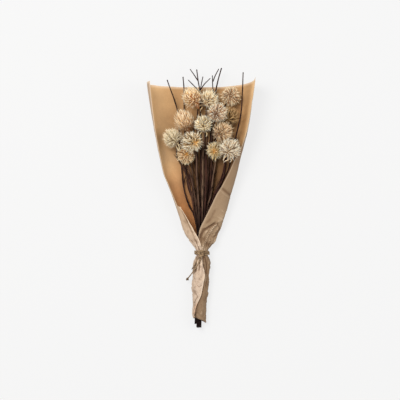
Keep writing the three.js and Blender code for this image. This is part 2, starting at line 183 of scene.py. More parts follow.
def mesh_piece(name, parts, material, flat=False):
    """One mesh object from parts in millimetres, riding on the body."""
    points, quads, triangles, attributes = joined(parts)
    mesh = bpy.data.meshes.new(name)
    loops = np.concatenate([quads.ravel(), triangles.ravel()])
    sizes = np.repeat([4, 3], [len(quads), len(triangles)])
    mesh.vertices.add(len(points))
    mesh.vertices.foreach_set("co", to_row(points).ravel().astype(np.float32))
    mesh.loops.add(len(loops))
    mesh.loops.foreach_set("vertex_index", loops.astype(np.int32))
    mesh.polygons.add(len(sizes))
    mesh.polygons.foreach_set("loop_start", (np.cumsum(sizes) - sizes).astype(np.int32))
    mesh.polygons.foreach_set("use_smooth", np.full(len(sizes), not flat))
    for key, values in attributes.items():
        layer = mesh.attributes.new(key, "FLOAT", "POINT")
        layer.data.foreach_set("value", values.astype(np.float32))
    mesh.update(calc_edges=True)
    mesh.validate()
    mesh.materials.append(material)
    piece = bpy.data.objects.new(name, mesh)
    scene.collection.objects.link(piece)
    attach(piece, "root")
    return piece


def tube_frames(line):
    """A side vector at each point of a line, carried along it without twisting."""
    tangent = unit(np.gradient(line, axis=0))
    side = np.zeros_like(line)
    side[0] = unit(np.cross(tangent[0], UP if abs(tangent[0, 2]) < 0.9 else [1, 0, 0]))
    for i in range(1, len(line)):
        side[i] = unit(side[i - 1] - tangent[i] * (side[i - 1] @ tangent[i]))
    return tangent, side, np.cross(tangent, side)


def grid_faces(rows, columns, closed=True):
    """Quads of a grid whose points come row by row. closed joins each row's end to its start."""
    row = np.arange(rows - 1)[:, None] * columns
    j = np.arange(columns - (not closed))
    low, high = row + j, row + (j + 1) % columns
    return np.stack([low, low + columns, high + columns, high], -1).reshape(-1, 4)


TURNED_OVER = [0, 3, 2, 1]  # a quad's corners in this order face the other way


def end_fans(rows, columns):
    """Triangles from a tube's first and last rows to the two points that follow all of its rows."""
    j = np.arange(columns)
    k = (j + 1) % columns
    last, pole = (rows - 1) * columns, np.full(columns, rows * columns)
    return np.vstack([np.stack([k, j, pole], -1), np.stack([last + j, last + k, pole + 1], -1)])


def tube(line, radius, sides):
    """A closed tube round a line. radius is one value, one a point, or one a point and side."""
    _, side, other = tube_frames(line)
    turn = np.linspace(0, 2 * math.pi, sides, endpoint=False)
    radius = radius if np.ndim(radius) == 2 else np.reshape(radius, (-1, 1))
    ring = side[:, None] * np.cos(turn)[:, None] + other[:, None] * np.sin(turn)[:, None]
    ring = line[:, None] + ring * radius[..., None]
    points = np.vstack([ring.reshape(-1, 3), line[0], line[-1]])
    return points, grid_faces(len(line), sides)[:, TURNED_OVER], end_fans(len(line), sides)


def srgb(r, g, b):
    """Scene-linear colour from 8-bit display values."""
    v = np.array([r, g, b]) / 255
    return (*np.where(v <= 0.04045, v / 12.92, ((v + 0.055) / 1.055) ** 2.4), 1.0)


class Nodes:
    """Short calls for building a node tree."""

    def __init__(self, tree):
        self.tree = tree

    def add(self, kind, settings=None, **inputs):
        """A new node. Its inputs go by name, or by number as i0, i1 and so on."""
        node = self.tree.nodes.new(kind)
        for key, value in (settings or {}).items():
            setattr(node, key, value)
        for key, value in inputs.items():
            self.set(node, key, value)
        return node

    def set(self, node, key, value):
        """An input linked to a socket, or given a value."""
        socket = node.inputs[int(key[1:]) if key[0] == "i" and key[1:].isdigit() else key]
        if isinstance(value, bpy.types.NodeSocket):
            self.tree.links.new(value, socket)
        else:
            socket.default_value = value

    def attribute(self, name):
        """A value that the mesh keeps for each point."""
        return self.add("ShaderNodeAttribute", {"attribute_name": name}).outputs["Fac"]

    def math(self, operation, a, b=0.0):
        """One operation on one or two values."""
        return self.add("ShaderNodeMath", {"operation": operation}, i0=a, i1=b).outputs[0]

    def mix(self, share, a, b, blend="MIX"):
        """Colour a where share is 0 and b where it is 1."""
        settings = {"data_type": "RGBA", "blend_type": blend, "clamp_factor": True}
        return self.add("ShaderNodeMix", settings, i0=share, i6=a, i7=b).outputs[2]

    def tint(self, colour, mask, most, new, blend="MIX"):
        """A colour moved towards a new one by a mask times the share `most`."""
        return self.mix(self.math("MULTIPLY", mask, most), colour, new, blend)

    def place(self):
        """Object coordinates, in metres."""
        return self.add("ShaderNodeTexCoord").outputs["Object"]

    def noise(self, x, y, z, detail=3.0, roughness=0.55):
        """Noise on object coordinates, which are scaled by x, y and z."""
        mapped = self.add("ShaderNodeMapping", Vector=self.place(), Scale=(x, y, z)).outputs[0]
        return self.add("ShaderNodeTexNoise", Vector=mapped, Scale=1.0, Detail=detail,
                        Roughness=roughness).outputs["Fac"]

    def level(self, value, low, high):
        """A value rescaled so that low becomes 0 and high becomes 1."""
        return self.add("ShaderNodeMapRange", {"clamp": True}, i0=value, i1=low, i2=high).outputs[0]

    def bump(self, height, strength, distance, normal=None):
        """A normal tilted by a height, `distance` metres at 1, over another normal if given."""
        node = self.add("ShaderNodeBump", Height=height, Strength=strength, Distance=distance)
        if normal is not None:
            self.set(node, "Normal", normal)
        return node.outputs["Normal"]


def material(name, roughness, specular):
    """A new material, the short calls to build its nodes, and its shader."""
    made = bpy.data.materials.new(name)
    made.use_nodes = True
    nodes = Nodes(made.node_tree)
    shader = made.node_tree.nodes["Principled BSDF"]
    shader.inputs["Roughness"].default_value = roughness
    shader.inputs["Specular IOR Level"].default_value = specular
    return made, nodes, shader


jute, n, shader = material("jute_twine", 0.92, 0.1)
fibres = n.noise(900, 900, 900, 4.0, 0.7)
blotch = n.noise(90, 90, 90, 2.0)
base = n.mix(n.level(fibres, 0.36, 0.62), srgb(50, 34, 23), srgb(192, 162, 126))
base = n.tint(base, n.level(blotch, 0.45, 0.75), 0.6, srgb(80, 58, 38))
# Painted shade in the grooves between the strands.
base = n.tint(base, n.attribute("groove"), 0.95, srgb(54, 38, 26))
base = n.mix(n.attribute("dark"), base, srgb(76, 64, 53))
n.set(shader, "Base Color", base)
n.set(shader, "Normal", n.bump(fibres, 0.5, 0.0003))

TWINE_RADIUS, STRANDS, STRAND_SIDES = 1.15, 3, 8


def rope(line, seed, radius=TWINE_RADIUS, lay=7.0, hairs=0, dark=0.0):
    """Three round strands wound round a line: each strand's middle circles it once every `lay` mm.
    `hairs` loose fibres stand off it, each a thin tube on a quadratic curve."""
    draw = np.random.default_rng(seed)
    run = run_along(line)
    tangent, side, other = tube_frames(line)
    taper = np.minimum(1, 0.55 + np.minimum(run, run[-1] - run) / (1.2 * radius))
    home = np.vstack([np.repeat(line, STRAND_SIDES, axis=0), line[:1], line[-1:]])
    parts = []
    for strand in range(STRANDS):
        turn = 2 * math.pi * (run / lay + strand / STRANDS)
        away = side * np.cos(turn)[:, None] + other * np.sin(turn)[:, None]
        middle = line + away * (radius * 0.5 * taper)[:, None]
        thick = radius * 0.53 * taper * (1 + 0.07 * noise3(middle, 3.0, seed + strand))
        points, quads, triangles = tube(middle, thick, STRAND_SIDES)
        depth = np.linalg.norm(points - home, axis=1) / radius
        # groove: painted shade, deepest between the strands
        parts.append((points, quads, triangles,
                      {"groove": 1 - smooth((depth - 0.52) / 0.42), "dark": dark}))
    t = np.linspace(0, 1, 5)[:, None]
    lowest = 0.4  # hairs stay above the table
    for _ in range(hairs):
        i = draw.integers(2, len(line) - 3)
        away = unit(draw.normal(size=3))
        away = unit(away - tangent[i] * (away @ tangent[i]))
        lean = unit(away * 0.7 + tangent[i] * draw.uniform(-1.2, 1.2))
        reach = draw.uniform(0.7, 2.0)
        root = line[i] + away * radius * 0.8
        hair = root + t * lean * reach
        hair = hair + t**2 * draw.normal(size=3) * 0.4
        hair[:, 2] = np.maximum(hair[:, 2], lowest)
        parts.append((*tube(hair, np.linspace(0.07, 0.03, 5), 3), {"groove": 0.0, "dark": dark}))
    return parts


def end_knot(at, along):
    """A tight overhand knot: a trefoil of twine, squeezed along the cord."""
    t = np.linspace(0, 2 * math.pi, 49)[:-1]
    x, y = np.sin(t) + 2 * np.sin(2 * t), np.cos(t) - 2 * np.cos(2 * t)
    flat = np.stack([x, y, -1.3 * np.sin(3 * t)], -1)
    along = unit(along)
    side = unit(np.cross(along, UP))
    turned = flat[:, :1] * along + flat[:, 1:2] * side + flat[:, 2:] * np.cross(along, side)
    line = np.asarray(at) + turned * 0.8
    return rope(np.vstack([line, line[:1]]), 71, radius=1.05, lay=4.5, hairs=14, dark=0.6)


long_line = catmull(LONG_TAIL, 60)
long_tail = mesh_piece("twine_tail_long_look", rope(long_line, 61, hairs=26, dark=0.08), jute)
knot_parts = end_knot(long_line[-1], long_line[-1] - long_line[-4])
tail_knot = mesh_piece("twine_end_knot", knot_parts, jute)
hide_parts("twine_tail_long")
to_row(LONG_TAIL[0])
to_row(long_line)

# ---- the short end of the twine ----------------------------------------------------------------
# The other end of the same three-strand jute. It leaves the knot beside the long one, passes off
# the paper's left side below the waist and is simply cut off.
SHORT_TAIL = [[-4.5, -8, 29.8], [-8.5, -15.5, 28], [-13.5, -24, 24], [-18, -32, 18.5]]
short_line = catmull(SHORT_TAIL, 40)
short_tail = mesh_piece("twine_tail_short_look", rope(short_line, 62, hairs=16), jute)
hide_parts("twine_tail_short")
to_row(SHORT_TAIL[0])
to_row(short_line)

# ---- the binding and its knot ------------------------------------------------------------------
# Three turns of the same jute twine, pulled tight round the paper and the stems in it. They are
# held by a flat knot on the upper side, which both ends of the twine come out of.
COIL_RADIUS, COIL = 13.77, (1.55, 15.0)  # the coil's radius, and its middle's x and z
TURNS, PITCH = 3, 2.3
t = np.linspace(0, 1, 66 * TURNS)
turn = 2 * math.pi * TURNS * t + 0.3  # it starts under the knot
coil = np.stack([COIL[0] + COIL_RADIUS * np.sin(turn), TURNS * PITCH * (t - 0.5),
                 COIL[1] + COIL_RADIUS * np.cos(turn)], -1)
coil[:, 1] += 1.5 * noise3(coil, 7.0, 5)
coil[:, 2] += 0.4 * noise3(coil, 6.0, 6) * (coil[:, 2] > COIL[1])
KNOT_LINES = [
    [[5.5, 3.5, 29.2], [2, 4.2, 30.2], [-2.5, 1, 31], [-3.5, -3.5, 30.8], [-0.5, -6.5, 30.6],
     [3, -4, 31.3], [2.6, 0.5, 32], [-0.5, 3.4, 31.6], [-4.4, 1.8, 30.6], [-4.6, -2.5, 30.4],
     [-1.5, -6, 31], [1, -9.5, 30.5]],
    [[-5.5, 3.5, 29.2], [-1.5, 5, 30], [3.4, 2.5, 30.4], [4.6, -2, 30.3], [1.6, -5.8, 30.2],
     [-2.2, -3, 31.2], [-2.6, 1.6, 31.4], [1.2, 2.2, 31.6], [2.4, -1.6, 31.5], [-0.6, -5, 31.3],
     [-4.5, -8, 29.8]],
]
parts = rope(coil, 63, radius=1.2, hairs=110)
for i, route in enumerate(KNOT_LINES):
    parts += rope(catmull(route, 90), 64 + i, radius=1.05, hairs=16)
binding = mesh_piece("twine_binding_look", parts, jute)
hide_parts("twine_binding")

# ---- the kraft paper ---------------------------------------------------------------------------
# One sheet of brown kraft, rolled to a cone and pinched at the twine. The right side lies under
# the left one. It is smooth at the top, creased on the flaps and crumpled round the waist.
LAYER_STEP = 1.3  # how far the left side lies over the right one
BACK_SINK = 0.5  # how far the rounded back is pressed flat
FACE_DEPTHS = (0.2, 0.5)  # the two faces of the paper, below the outer face of its solid
# Each row: y, middle x, half width, half height right and left, squareness, the angle that the
# paper reaches right and left, and how far the back is lifted off the table.
SECTIONS = [
    [-131, -2.9, 12.4, 12.6, 12.6, 2.0, 235, 141, 0],
    [-109, -2.8, 12.6, 12.6, 12.6, 2.0, 235, 147, 0],
    [-80, -1.5, 14.4, 12.8, 12.8, 2.0, 235, 186, 0],
    [-58, -0.6, 15.7, 13.0, 13.0, 2.0, 235, 198, 0],
    [-40, 0.4, 16.1, 13.0, 13.0, 2.0, 235, 202, 0],
    [-20, 1.8, 16.2, 12.8, 12.8, 2.0, 232, 182, 1.4],
    [-9, 2.1, 13.4, 12.0, 12.0, 2.0, 231, 180, 3.2],
    [-4.5, 2.2, 11.05, 11.05, 11.05, 2.0, 230, 179, 3.8],
    [0, 2.2, 10.9, 10.9, 10.9, 2.0, 229, 178, 3.8],
    [4.5, 2.3, 11.05, 11.05, 11.05, 2.0, 224, 176, 3.8],
    [9, 2.8, 13.6, 11.6, 11.6, 2.0, 219, 174, 3.2],
    [25, 2.6, 25.4, 12.6, 12.6, 2.1, 199, 166, 1.0],
    [45, 1.8, 35.8, 14.0, 14.0, 2.1, 187, 154, 0],
    [62, 1.9, 41.2, 15.3, 15.3, 2.2, 177, 143, 0],
    [86, 1.6, 48.9, 17.5, 17.5, 2.3, 165, 129, 0],
    [88.2, 1.5, 49.6, 17.7, 17.7, 2.31, 164, 127.5, 0],
    [89.8, 1.5, 50.2, 17.9, 17.9, 2.33, 163.4, 113, 0],
    [93, 1.4, 51.2, 18.2, 18.2, 2.35, 162, 112, 0],
    [110, 0.8, 56.5, 20, 20, 2.5, 156, 107, 0],
    [130, 0, 63.2, 22, 23, 2.6, 146, 105, 0],
    [152, -1.0, 70.4, 25, 26.5, 2.7, 137, 104, 0],
    [175, -0.8, 75.7, 29, 30, 2.8, 128, 104, 0],
    [206, -0.2, 82.9, 35, 34, 3, 112, 105, 0],
    [240, 0, 90, 43, 38, 3, 105, 107, 0],
    [282, -0.2, 96.9, 50, 42, 3, 100, 111, 0],
    [334, 0, 103.2, 56, 46, 3, 97, 115, 0],
]
MARKED_RIDGE, MARK_SPACING = 3.4, 3.7  # height of the ridge with slanting marks, their spacing
CREASES = [  # points (x, y), height (negative is a valley), half width, side (1 right, -1 left)
    [[(1.5, 8), (8.5, 23), (14, 35.5), (21, 47.5), (29, 56)], MARKED_RIDGE, 2.8, 1],
    [[(-4, 27), (0, 35.5), (5, 44), (17, 51), (28, 57)], -3.4, 3.4, 1],
    [[(31, 57), (36.5, 47), (33, 36), (23, 30)], -1.6, 3.0, 1],
    [[(29, 56), (34, 62)], 1.4, 2.6, 1],
    [[(12, 22), (20, 17), (27, 24)], 1.6, 3.0, 1],
    [[(19, 38), (28, 41), (35, 50)], 1.2, 2.4, 1],
    [[(4, 31), (9, 40), (17, 46)], 1.3, 2.6, 1],
    [[(36, 120), (46, 111), (58, 103)], 1.2, 2.4, 1],
    [[(42, 123), (52, 115), (60, 109)], -1.8, 4.5, 1],
    [[(31, 88), (40, 81), (48, 75)], 1.0, 3.2, 1],
    [[(20, 72), (30, 70), (43, 62)], 1.0, 3.0, 1],
    [[(8, 55), (18, 64), (27, 82)], -0.9, 4.5, 1],
    [[(-12, 20), (-9, 12), (-6, 6)], 1.4, 2.0, -1],
    [[(-7, 19), (-4, 11), (-2, 6)], 1.1, 1.7, -1],
    [[(-16, 31), (-10, 27), (-5, 29)], 0.8, 1.9, -1],
    [[(-38, 81), (-30.5, 66), (-23.5, 50.5), (-12.6, 28)], -1.2, 2.2, -1],
    [[(-44, 90), (-40, 84), (-36, 84)], 1.1, 2.2, -1],
]
TUBE_FOLDS = [  # the same, on the top of the tube below the twine, for both layers
    [[(-5, -9), (-6.5, -24), (-9, -42)], 1.7, 1.9, 0],
    [[(-9, -9), (-11, -22), (-12, -38)], -1.6, 1.8, 0],
    [[(1.5, -9), (1, -26), (0, -40)], 1.4, 1.7, 0],
    [[(-2, -9), (-3, -20), (-5, -34)], -1.6, 1.6, 0],
    [[(8, -8), (11, -22), (11.5, -44), (10, -66)], -1.8, 1.9, 0],
    [[(12, -10), (15, -24), (14.5, -50)], 1.4, 1.7, 0],
    [[(5, -9), (6, -20), (5, -30)], -1.4, 1.5, 0],
    [[(6, -12), (8, -36), (6.5, -62), (5.5, -84)], 0.8, 1.7, 0],
    [[(9, -44), (13, -50), (11, -58), (15, -64)], -1.2, 1.5, 0],
    [[(-14, -42), (-8, -46), (-1, -43)], 0.9, 1.5, 0],
    [[(-13, -50), (-6, -49), (2, -53)], -1.0, 1.4, 0],
    [[(-14, -58), (-8, -64), (-12, -70)], 1.0, 1.5, 0],
    [[(-10, -60), (-4, -66), (1, -62)], -1.0, 1.5, 0],
    [[(-13, -76), (-7, -84), (-12, -92)], -1.0, 1.5, 0],
    [[(-9, -72), (-3, -78), (-1, -86)], 0.8, 1.5, 0],
    [[(-11, -88), (-6, -95), (-3, -104)], 0.8, 1.6, 0],
    [[(2, -96), (6, -104), (3, -112)], 0.9, 1.5, 0],
    [[(8, -78), (11, -84), (8, -92)], -0.9, 1.5, 0],
]


def read_table(rows, column, at):
    """A curve through a column's values without overshoot: a monotone cubic over the first one."""
    rows = np.asarray(rows, float)
    x, v = rows[:, 0], rows[:, column]
    at = np.clip(at, x[0], x[-1])
    i = np.clip(np.searchsorted(x, at, "right") - 1, 0, len(x) - 2)
    slope = np.diff(v) / np.diff(x)
    before, after = slope[:-1], slope[1:]
    both = np.where(before + after == 0, 1, before + after)
    tangent = np.concatenate([[0], np.where(before * after > 0, 2 * before * after / both, 0), [0]])
    h = x[i + 1] - x[i]
    t = (at - x[i]) / h
    return ((2 * t**3 - 3 * t**2 + 1) * v[i] + (t**3 - 2 * t**2 + t) * tangent[i] * h
            + (3 * t**2 - 2 * t**3) * v[i + 1] + (t**3 - t**2) * tangent[i + 1] * h)


def section_at(y, on_right):
    """The section at y: middle x and z, half width, half height, squareness, the angle at which the
    paper ends, and lift. The half height and that angle are the right or the left side's."""
    middle_x, half, right, left, square, reach_right, reach_left, lift = (
        read_table(SECTIONS, column, y) for column in range(1, 9))
    height = np.where(on_right, right, left)
    middle_z = lift + height + LAYER_STEP / 2 - BACK_SINK
    reach = np.where(on_right, reach_right, reach_left)
    return middle_x, middle_z, half, height, square, reach, lift


def signed_power(value, power):
    """A power of the value's size, with the value's sign."""
    return np.sign(value) * np.abs(value) ** power


def sheet_place(y, angle, out):
    """Points of the rolled sheet: a superellipse section at each y, angle degrees round from the
    middle of the back (right is positive), moved out from the solid's outer face by `out` mm."""
    middle_x, middle_z, half, height, square, _, lift = section_at(y, angle > 0)
    turn = np.radians(angle)
    away = out + LAYER_STEP * smooth((60 - angle) / 120)
    x = middle_x + (half + away) * signed_power(np.sin(turn), 2 / square)
    z = middle_z - (height + away) * signed_power(np.cos(turn), 2 / square)
    return np.stack([x, y, z], -1), lift


def near_line(points, line):
    """Distance in plan from each point to a chain of (x, y) points, and how far along it lies."""
    best = np.full(points.shape[:-1], 1e9)
    along = np.zeros(points.shape[:-1])
    run = 0.0
    line = np.asarray(line, float)
    for a, b in zip(line[:-1], line[1:]):
        reach = np.linalg.norm(b - a)
        t = np.clip(((points[..., :2] - a) @ (b - a)) / reach**2, 0, 1)
        gap = np.linalg.norm(points[..., :2] - a - t[..., None] * (b - a), axis=-1)
        closer = gap < best
        along = np.where(closer, run + t * reach, along)
        best = np.minimum(best, gap)
        run += reach
    return best, along, run


def facets(place, size, seed):
    """Crumpled facets, about -1 to 1: each cell of a jittered lattice tilts its own way round its
    middle, and the tilt fades to nothing where the cell meets its nearest neighbour."""
    lattice = 24
    draw = np.random.default_rng(seed)
    jitter = draw.uniform(0.1, 0.9, (lattice,) * 3 + (3,))
    tilt = draw.normal(size=(lattice,) * 3 + (3,))
    q = place / size
    home = np.floor(q).astype(int)
    first, second = np.full(q.shape[:-1], 9.0), np.full(q.shape[:-1], 9.0)
    height = np.zeros(q.shape[:-1])
    for step in np.ndindex(3, 3, 3):
        cell = home + np.array(step) - 1
        at = tuple(np.moveaxis(cell % lattice, -1, 0))
        away = q - cell - jitter[at]
        gap = np.linalg.norm(away, axis=-1)
        slope = np.sum(away * tilt[at], axis=-1)
        nearer = gap < first
        second = np.where(nearer, first, np.minimum(second, gap))
        height = np.where(nearer, slope, height)
        first = np.where(nearer, gap, first)
    return height * smooth((second - first) / 0.3) - 0.35 * smooth(1 - (second - first) / 0.16)


def crumple(place, angle, y):
    """How far the paper stands out in mm, how deep in a groove it is, and the run and mask of the
    marked ridge. Broad waves, facets and creases are added up. Close to the twine come pleats
    between narrow grooves, which a sine of the angle spaces evenly."""
    top = smooth((np.abs(angle) - 80) / 35)  # the upper side, which the creases lie on
    pinch = np.exp(-(y / 30) ** 2)
    squeezed = np.exp(-(y / 4.5) ** 2)  # pressed flat under the twine
    broad = 0.9 * noise3(place, 62, 21) * smooth((y - 35) / 60)
    folds = 0.0
    for i, size in enumerate((26.0, 12.0, 6.5)):  # soft ridges of three sizes
        folds = folds + (0.42 / (i + 1)) * (0.35 - np.abs(noise3(place, size, 31 + i)))
    folds = folds * (0.25 + 0.95 * np.exp(-((y - 15) / 55) ** 2) + 0.35 * smooth((-40 - y) / 50))
    close = 0.16 + 0.84 * np.exp(-((y - 12) / 48) ** 2) + 0.42 * smooth((-14 - y) / 30)
    calm = 1 - 0.45 * smooth(-angle / 60) * smooth((y - 14) / 16)  # the left flap is smoother
    folds = folds + close * calm * (2.3 * facets(place, 24, 35) + 1.15 * facets(place, 10.5, 36))
    fine = 0.75 * smooth((-6 - y) / 12) + 0.35 * np.exp(-((y - 26) / 26) ** 2)
    folds = folds + fine * facets(place, 6.5, 37)
    wave = np.abs(np.sin(np.radians(angle) * 9 + 2.2 * noise3(place, 26, 41)))
    gathered = pinch * smooth((np.abs(angle) - 30) / 50)
    groove = smooth(1 - wave / 0.5) * gathered
    total = broad + folds - 1.5 * groove * (1 - np.exp(-(y / 6) ** 2)) + 0.5 * gathered * wave
    for line, height, width, side in CREASES + TUBE_FOLDS:
        gap, along, reach = near_line(place, line)
        profile = np.maximum(0, 1 - gap / width) ** 1.25
        ends = smooth((along + width) / 1.5 / width) * smooth((reach + width - along) / 1.5 / width)
        mask = top * ends * (1 if side == 0 else (np.sign(angle) == side))
        if height == MARKED_RIDGE:  # notched by its marks, with a groove down each side
            slant = along - 1.1 * gap
            profile = profile * (0.45 + 0.55 * np.abs(np.sin(math.pi * slant / MARK_SPACING)))
            marks = slant, smooth(1.35 - gap / (1.2 * width)) * mask
            # The groove down each side is painted shade alone; the shape has none.
            groove = np.maximum(groove, 0.5 * smooth(1 - np.abs(gap - 1.35 * width) / 1.6) * mask)
        elif height < -0.8:
            # Deep valleys get painted shade as well.
            groove = np.maximum(groove, 0.3 * -height * profile * mask)
        total = total + height * profile * mask
    return total * (1 - 0.85 * squeezed), groove, marks


COLUMNS, ROWS = 150, 300
FOOT, HEM = -131, 320
row_share = np.linspace(0, 1, ROWS)
fine_y = np.linspace(FOOT, HEM, 2000)  # rows lie closest together in the creased waist
crowd = np.cumsum(1 + 1.7 * np.exp(-((fine_y - 24) / 38) ** 2))
row_y = np.interp(row_share, (crowd - crowd[0]) / (crowd[-1] - crowd[0]), fine_y)
share = np.linspace(-1, 1, COLUMNS)[None, :]
edge, on_left = np.abs(share), share < 0
rows = np.repeat(row_y[:, None], COLUMNS, axis=1)
reach_right = read_table(SECTIONS, 6, row_y)[:, None]
reach_left = -read_table(SECTIONS, 7, row_y)[:, None]
angle = np.where(on_left, reach_left, reach_right) * edge
# The hem's corners are drawn up, the foot is cut aslant, and the hem is a little uneven.
corner = np.where(angle > 0, 15 * (np.abs(angle) / 97) ** 1.3, 7.5 * (np.abs(angle) / 114) ** 1.2)
slant = 4.5 * np.sin(np.radians(angle)) * smooth((-70 - rows) / 60)
uneven = 0.5 * noise3(np.stack([angle, 0 * angle, 0 * angle], -1), 14, 51)
sheet_y = rows - slant + corner * smooth((rows - 240) / 80)
sheet_y = sheet_y + 3.2 * smooth((np.abs(angle) - 95) / 45) * smooth((-112 - rows) / 16)
sheet_y = sheet_y + uneven * smooth((rows - 300) / 18)
plain, _ = sheet_place(sheet_y, angle, 0)
raised, groove, (mark_run, marked) = crumple(plain, angle, sheet_y)
edge_left = smooth((edge - 0.9) / 0.1) * on_left
edge_right = smooth((share - 0.94) / 0.06)
foot = smooth((-96 - sheet_y) / 22)
# The free edge on the left stands off the layer below it, most of all at the foot.
raised = raised + edge_left * (0.55 * smooth((-8 - sheet_y) / 20) + 2.4 * foot) + 0.25 * edge_right
faces_out = []
for depth in FACE_DEPTHS:
    place, lift = sheet_place(sheet_y, angle, raised - depth)
    place[..., 2] = np.maximum(place[..., 2], lift + depth)
    faces_out.append(place)
points = np.concatenate([p.reshape(-1, 3) for p in faces_out])
inner = ROWS * COLUMNS  # number of the inner face's first point
outer_faces = grid_faces(ROWS, COLUMNS, closed=False)
inner_faces = inner + outer_faces[:, ::-1]
across, up = np.arange(COLUMNS - 1), np.arange(ROWS - 1) * COLUMNS


def cut_edge(run, step):
    """Quads from the outer face to the inner one, along a run of points."""
    return np.stack([run, run + step, inner + run + step, inner + run], -1)


cut_edges = [cut_edge(across, 1), cut_edge(across + (ROWS - 1) * COLUMNS, 1)[:, TURNED_OVER],
             cut_edge(up, COLUMNS)[:, TURNED_OVER], cut_edge(up + COLUMNS - 1, COLUMNS)]
# Where each colour lies: the turned-up lip at the foot, painted shade on the tube's right side, in
# the creases and openings and on the inside among the stems, painted highlights on the edges, and
# painted light on the upper sides within.
lip = 0.74 * smooth((edge - 0.97 + 0.085 * smooth((-95 - sheet_y) / 16)) / 0.02) * on_left
lip = lip * smooth((-92 - sheet_y) / 6)
# Painted shade on the right side of the tube, below the twine.
tube_right_shade = 0.5 * smooth((angle + 20) / 60) * smooth((2 - sheet_y) / 14)
under_edge = 360 + reach_left  # where the left side's free edge lies on the right side below it
shadow = smooth(1 - np.abs(angle - under_edge + 4) / 9) * (angle > 90) * smooth((8 - sheet_y) / 12)
# Painted shadow among the pleats packed close by the twine on the right.
pleat_shadow = 0.6 * np.exp(-((plain[..., 0] - 18) / 9) ** 2 - ((sheet_y - 17) / 9) ** 2) * (angle > 70)
# Painted shade in the fold beside the turned-up lip at the foot.
lip_fold_shade = smooth(1 - np.abs(edge - 0.855) / 0.03) * on_left * smooth((-98 - sheet_y) / 10)
painted_shade = np.clip(0.85 * groove + shadow + pleat_shadow + 0.9 * lip_fold_shade, 0, 1)
# Painted shade in the opening at the foot.
mouth_shade = 0.9 * smooth((-106 - sheet_y) / 10)  # the dark opening at the foot, on the inner face alone
# Painted highlight along the sheet's free edges and its hem.
edge_highlight = smooth((edge - 0.972) / 0.02) * np.where(on_left, 1, 0.3 + 0.7 * smooth((rows - 170) / 60))
edge_highlight = np.maximum(edge_highlight, smooth((row_share - 0.99) / 0.01)[:, None])
# Painted light on the inner walls: the left wall and the top of the right one are painted lighter.
wall_light = (0.6 + 0.4 * smooth((-angle - 58) / 26)) * smooth((-angle - 14) / 40)
wall_light = wall_light * smooth((sheet_y - 114) / 76)
wall_light = np.maximum(wall_light, 0.85 * smooth((-angle - 60) / 28) * smooth((sheet_y - 74) / 24))
wall_light = wall_light + 1.1 * smooth((angle - 62) / 18) * smooth((sheet_y - 176) / 52)
# Painted shade on the inside, in the middle and on the right among the stems.
within_shade = smooth((angle + 30) / 35) * smooth((sheet_y - 20) / 30) * smooth((225 - sheet_y) / 60)
masks = {"layer": smooth((angle + 20) / 60), "edge_highlight": edge_highlight, "crumple_height": raised, "wall_light": wall_light,
         "within_shade": within_shade, "mark_run": mark_run, "marked": marked, "tube_right_shade": tube_right_shade}
values = {name: np.tile(mask.ravel(), 2) for name, mask in masks.items()}
values["inside"] = np.concatenate([lip.ravel(), np.ones(inner)])
values["painted_shade"] = np.concatenate([painted_shade.ravel(), np.maximum(painted_shade, mouth_shade).ravel()])

kraft, n, shader = material("kraft_paper", 0.8, 0.2)
pulp = n.noise(1500, 500, 1500, 4.0, 0.7)
cloud = n.level(n.noise(22, 14, 22, 4.0, 0.6), 0.35, 0.68)
ribs = n.noise(700, 20, 700, 2.0)
flecks = n.noise(420, 160, 420, 2.0, 0.5)
wrinkle = n.noise(130, 90, 130, 5.0, 0.62)
crumple_rise = n.attribute("crumple_height")
along = n.add("ShaderNodeSeparateXYZ", Vector=n.place()).outputs["Y"]  # metres from foot to hem
outside = n.mix(cloud, srgb(182, 160, 139), srgb(198, 178, 159))
# The right layer's outside is a browner, darker copy of the same paper: painted shade on the right
# flap and the tube's right side.
browner = n.mix(cloud, srgb(139, 115, 89), srgb(153, 129, 102))
outside = n.tint(outside, n.level(along, -0.10, -0.055), 0.55, srgb(174, 146, 114))
outside = n.mix(n.attribute("layer"), outside, browner)
outside = n.mix(n.attribute("tube_right_shade"), outside, srgb(104, 80, 58))
within = n.mix(cloud, srgb(172, 131, 86), srgb(186, 148, 104))
# Painted shade deep in the cone: darker and more orange towards the twine.
within = n.tint(within, n.level(along, 0.10, -0.09), 0.8, srgb(180, 106, 52))
# Painted light on the inner walls.
within = n.tint(within, n.attribute("wall_light"), 0.9, srgb(238, 200, 150))
# Painted shade on the inside among the stems.
within = n.tint(within, n.attribute("within_shade"), 0.85, srgb(104, 72, 42))
base = n.mix(n.attribute("inside"), outside, within)
base = n.tint(base, n.level(pulp, 0.35, 0.7), 0.22, srgb(150, 112, 76), "MULTIPLY")
base = n.tint(base, n.level(flecks, 0.68, 0.78), 0.3, srgb(140, 104, 70))
# Painted highlight on the raised crumples and painted shade in their hollows.
base = n.tint(base, n.level(crumple_rise, 0.5, 2.2), 0.45, srgb(214, 190, 162))
base = n.tint(base, n.level(crumple_rise, -0.3, -1.6), 0.7, srgb(104, 76, 52))
# Painted highlight on the edges.
base = n.tint(base, n.attribute("edge_highlight"), 0.6, srgb(226, 204, 178))
# Painted shade in grooves, creases, under the left side's edge, among the pleats and in the opening
# at the foot.
base = n.tint(base, n.attribute("painted_shade"), 0.8, srgb(84, 60, 42))
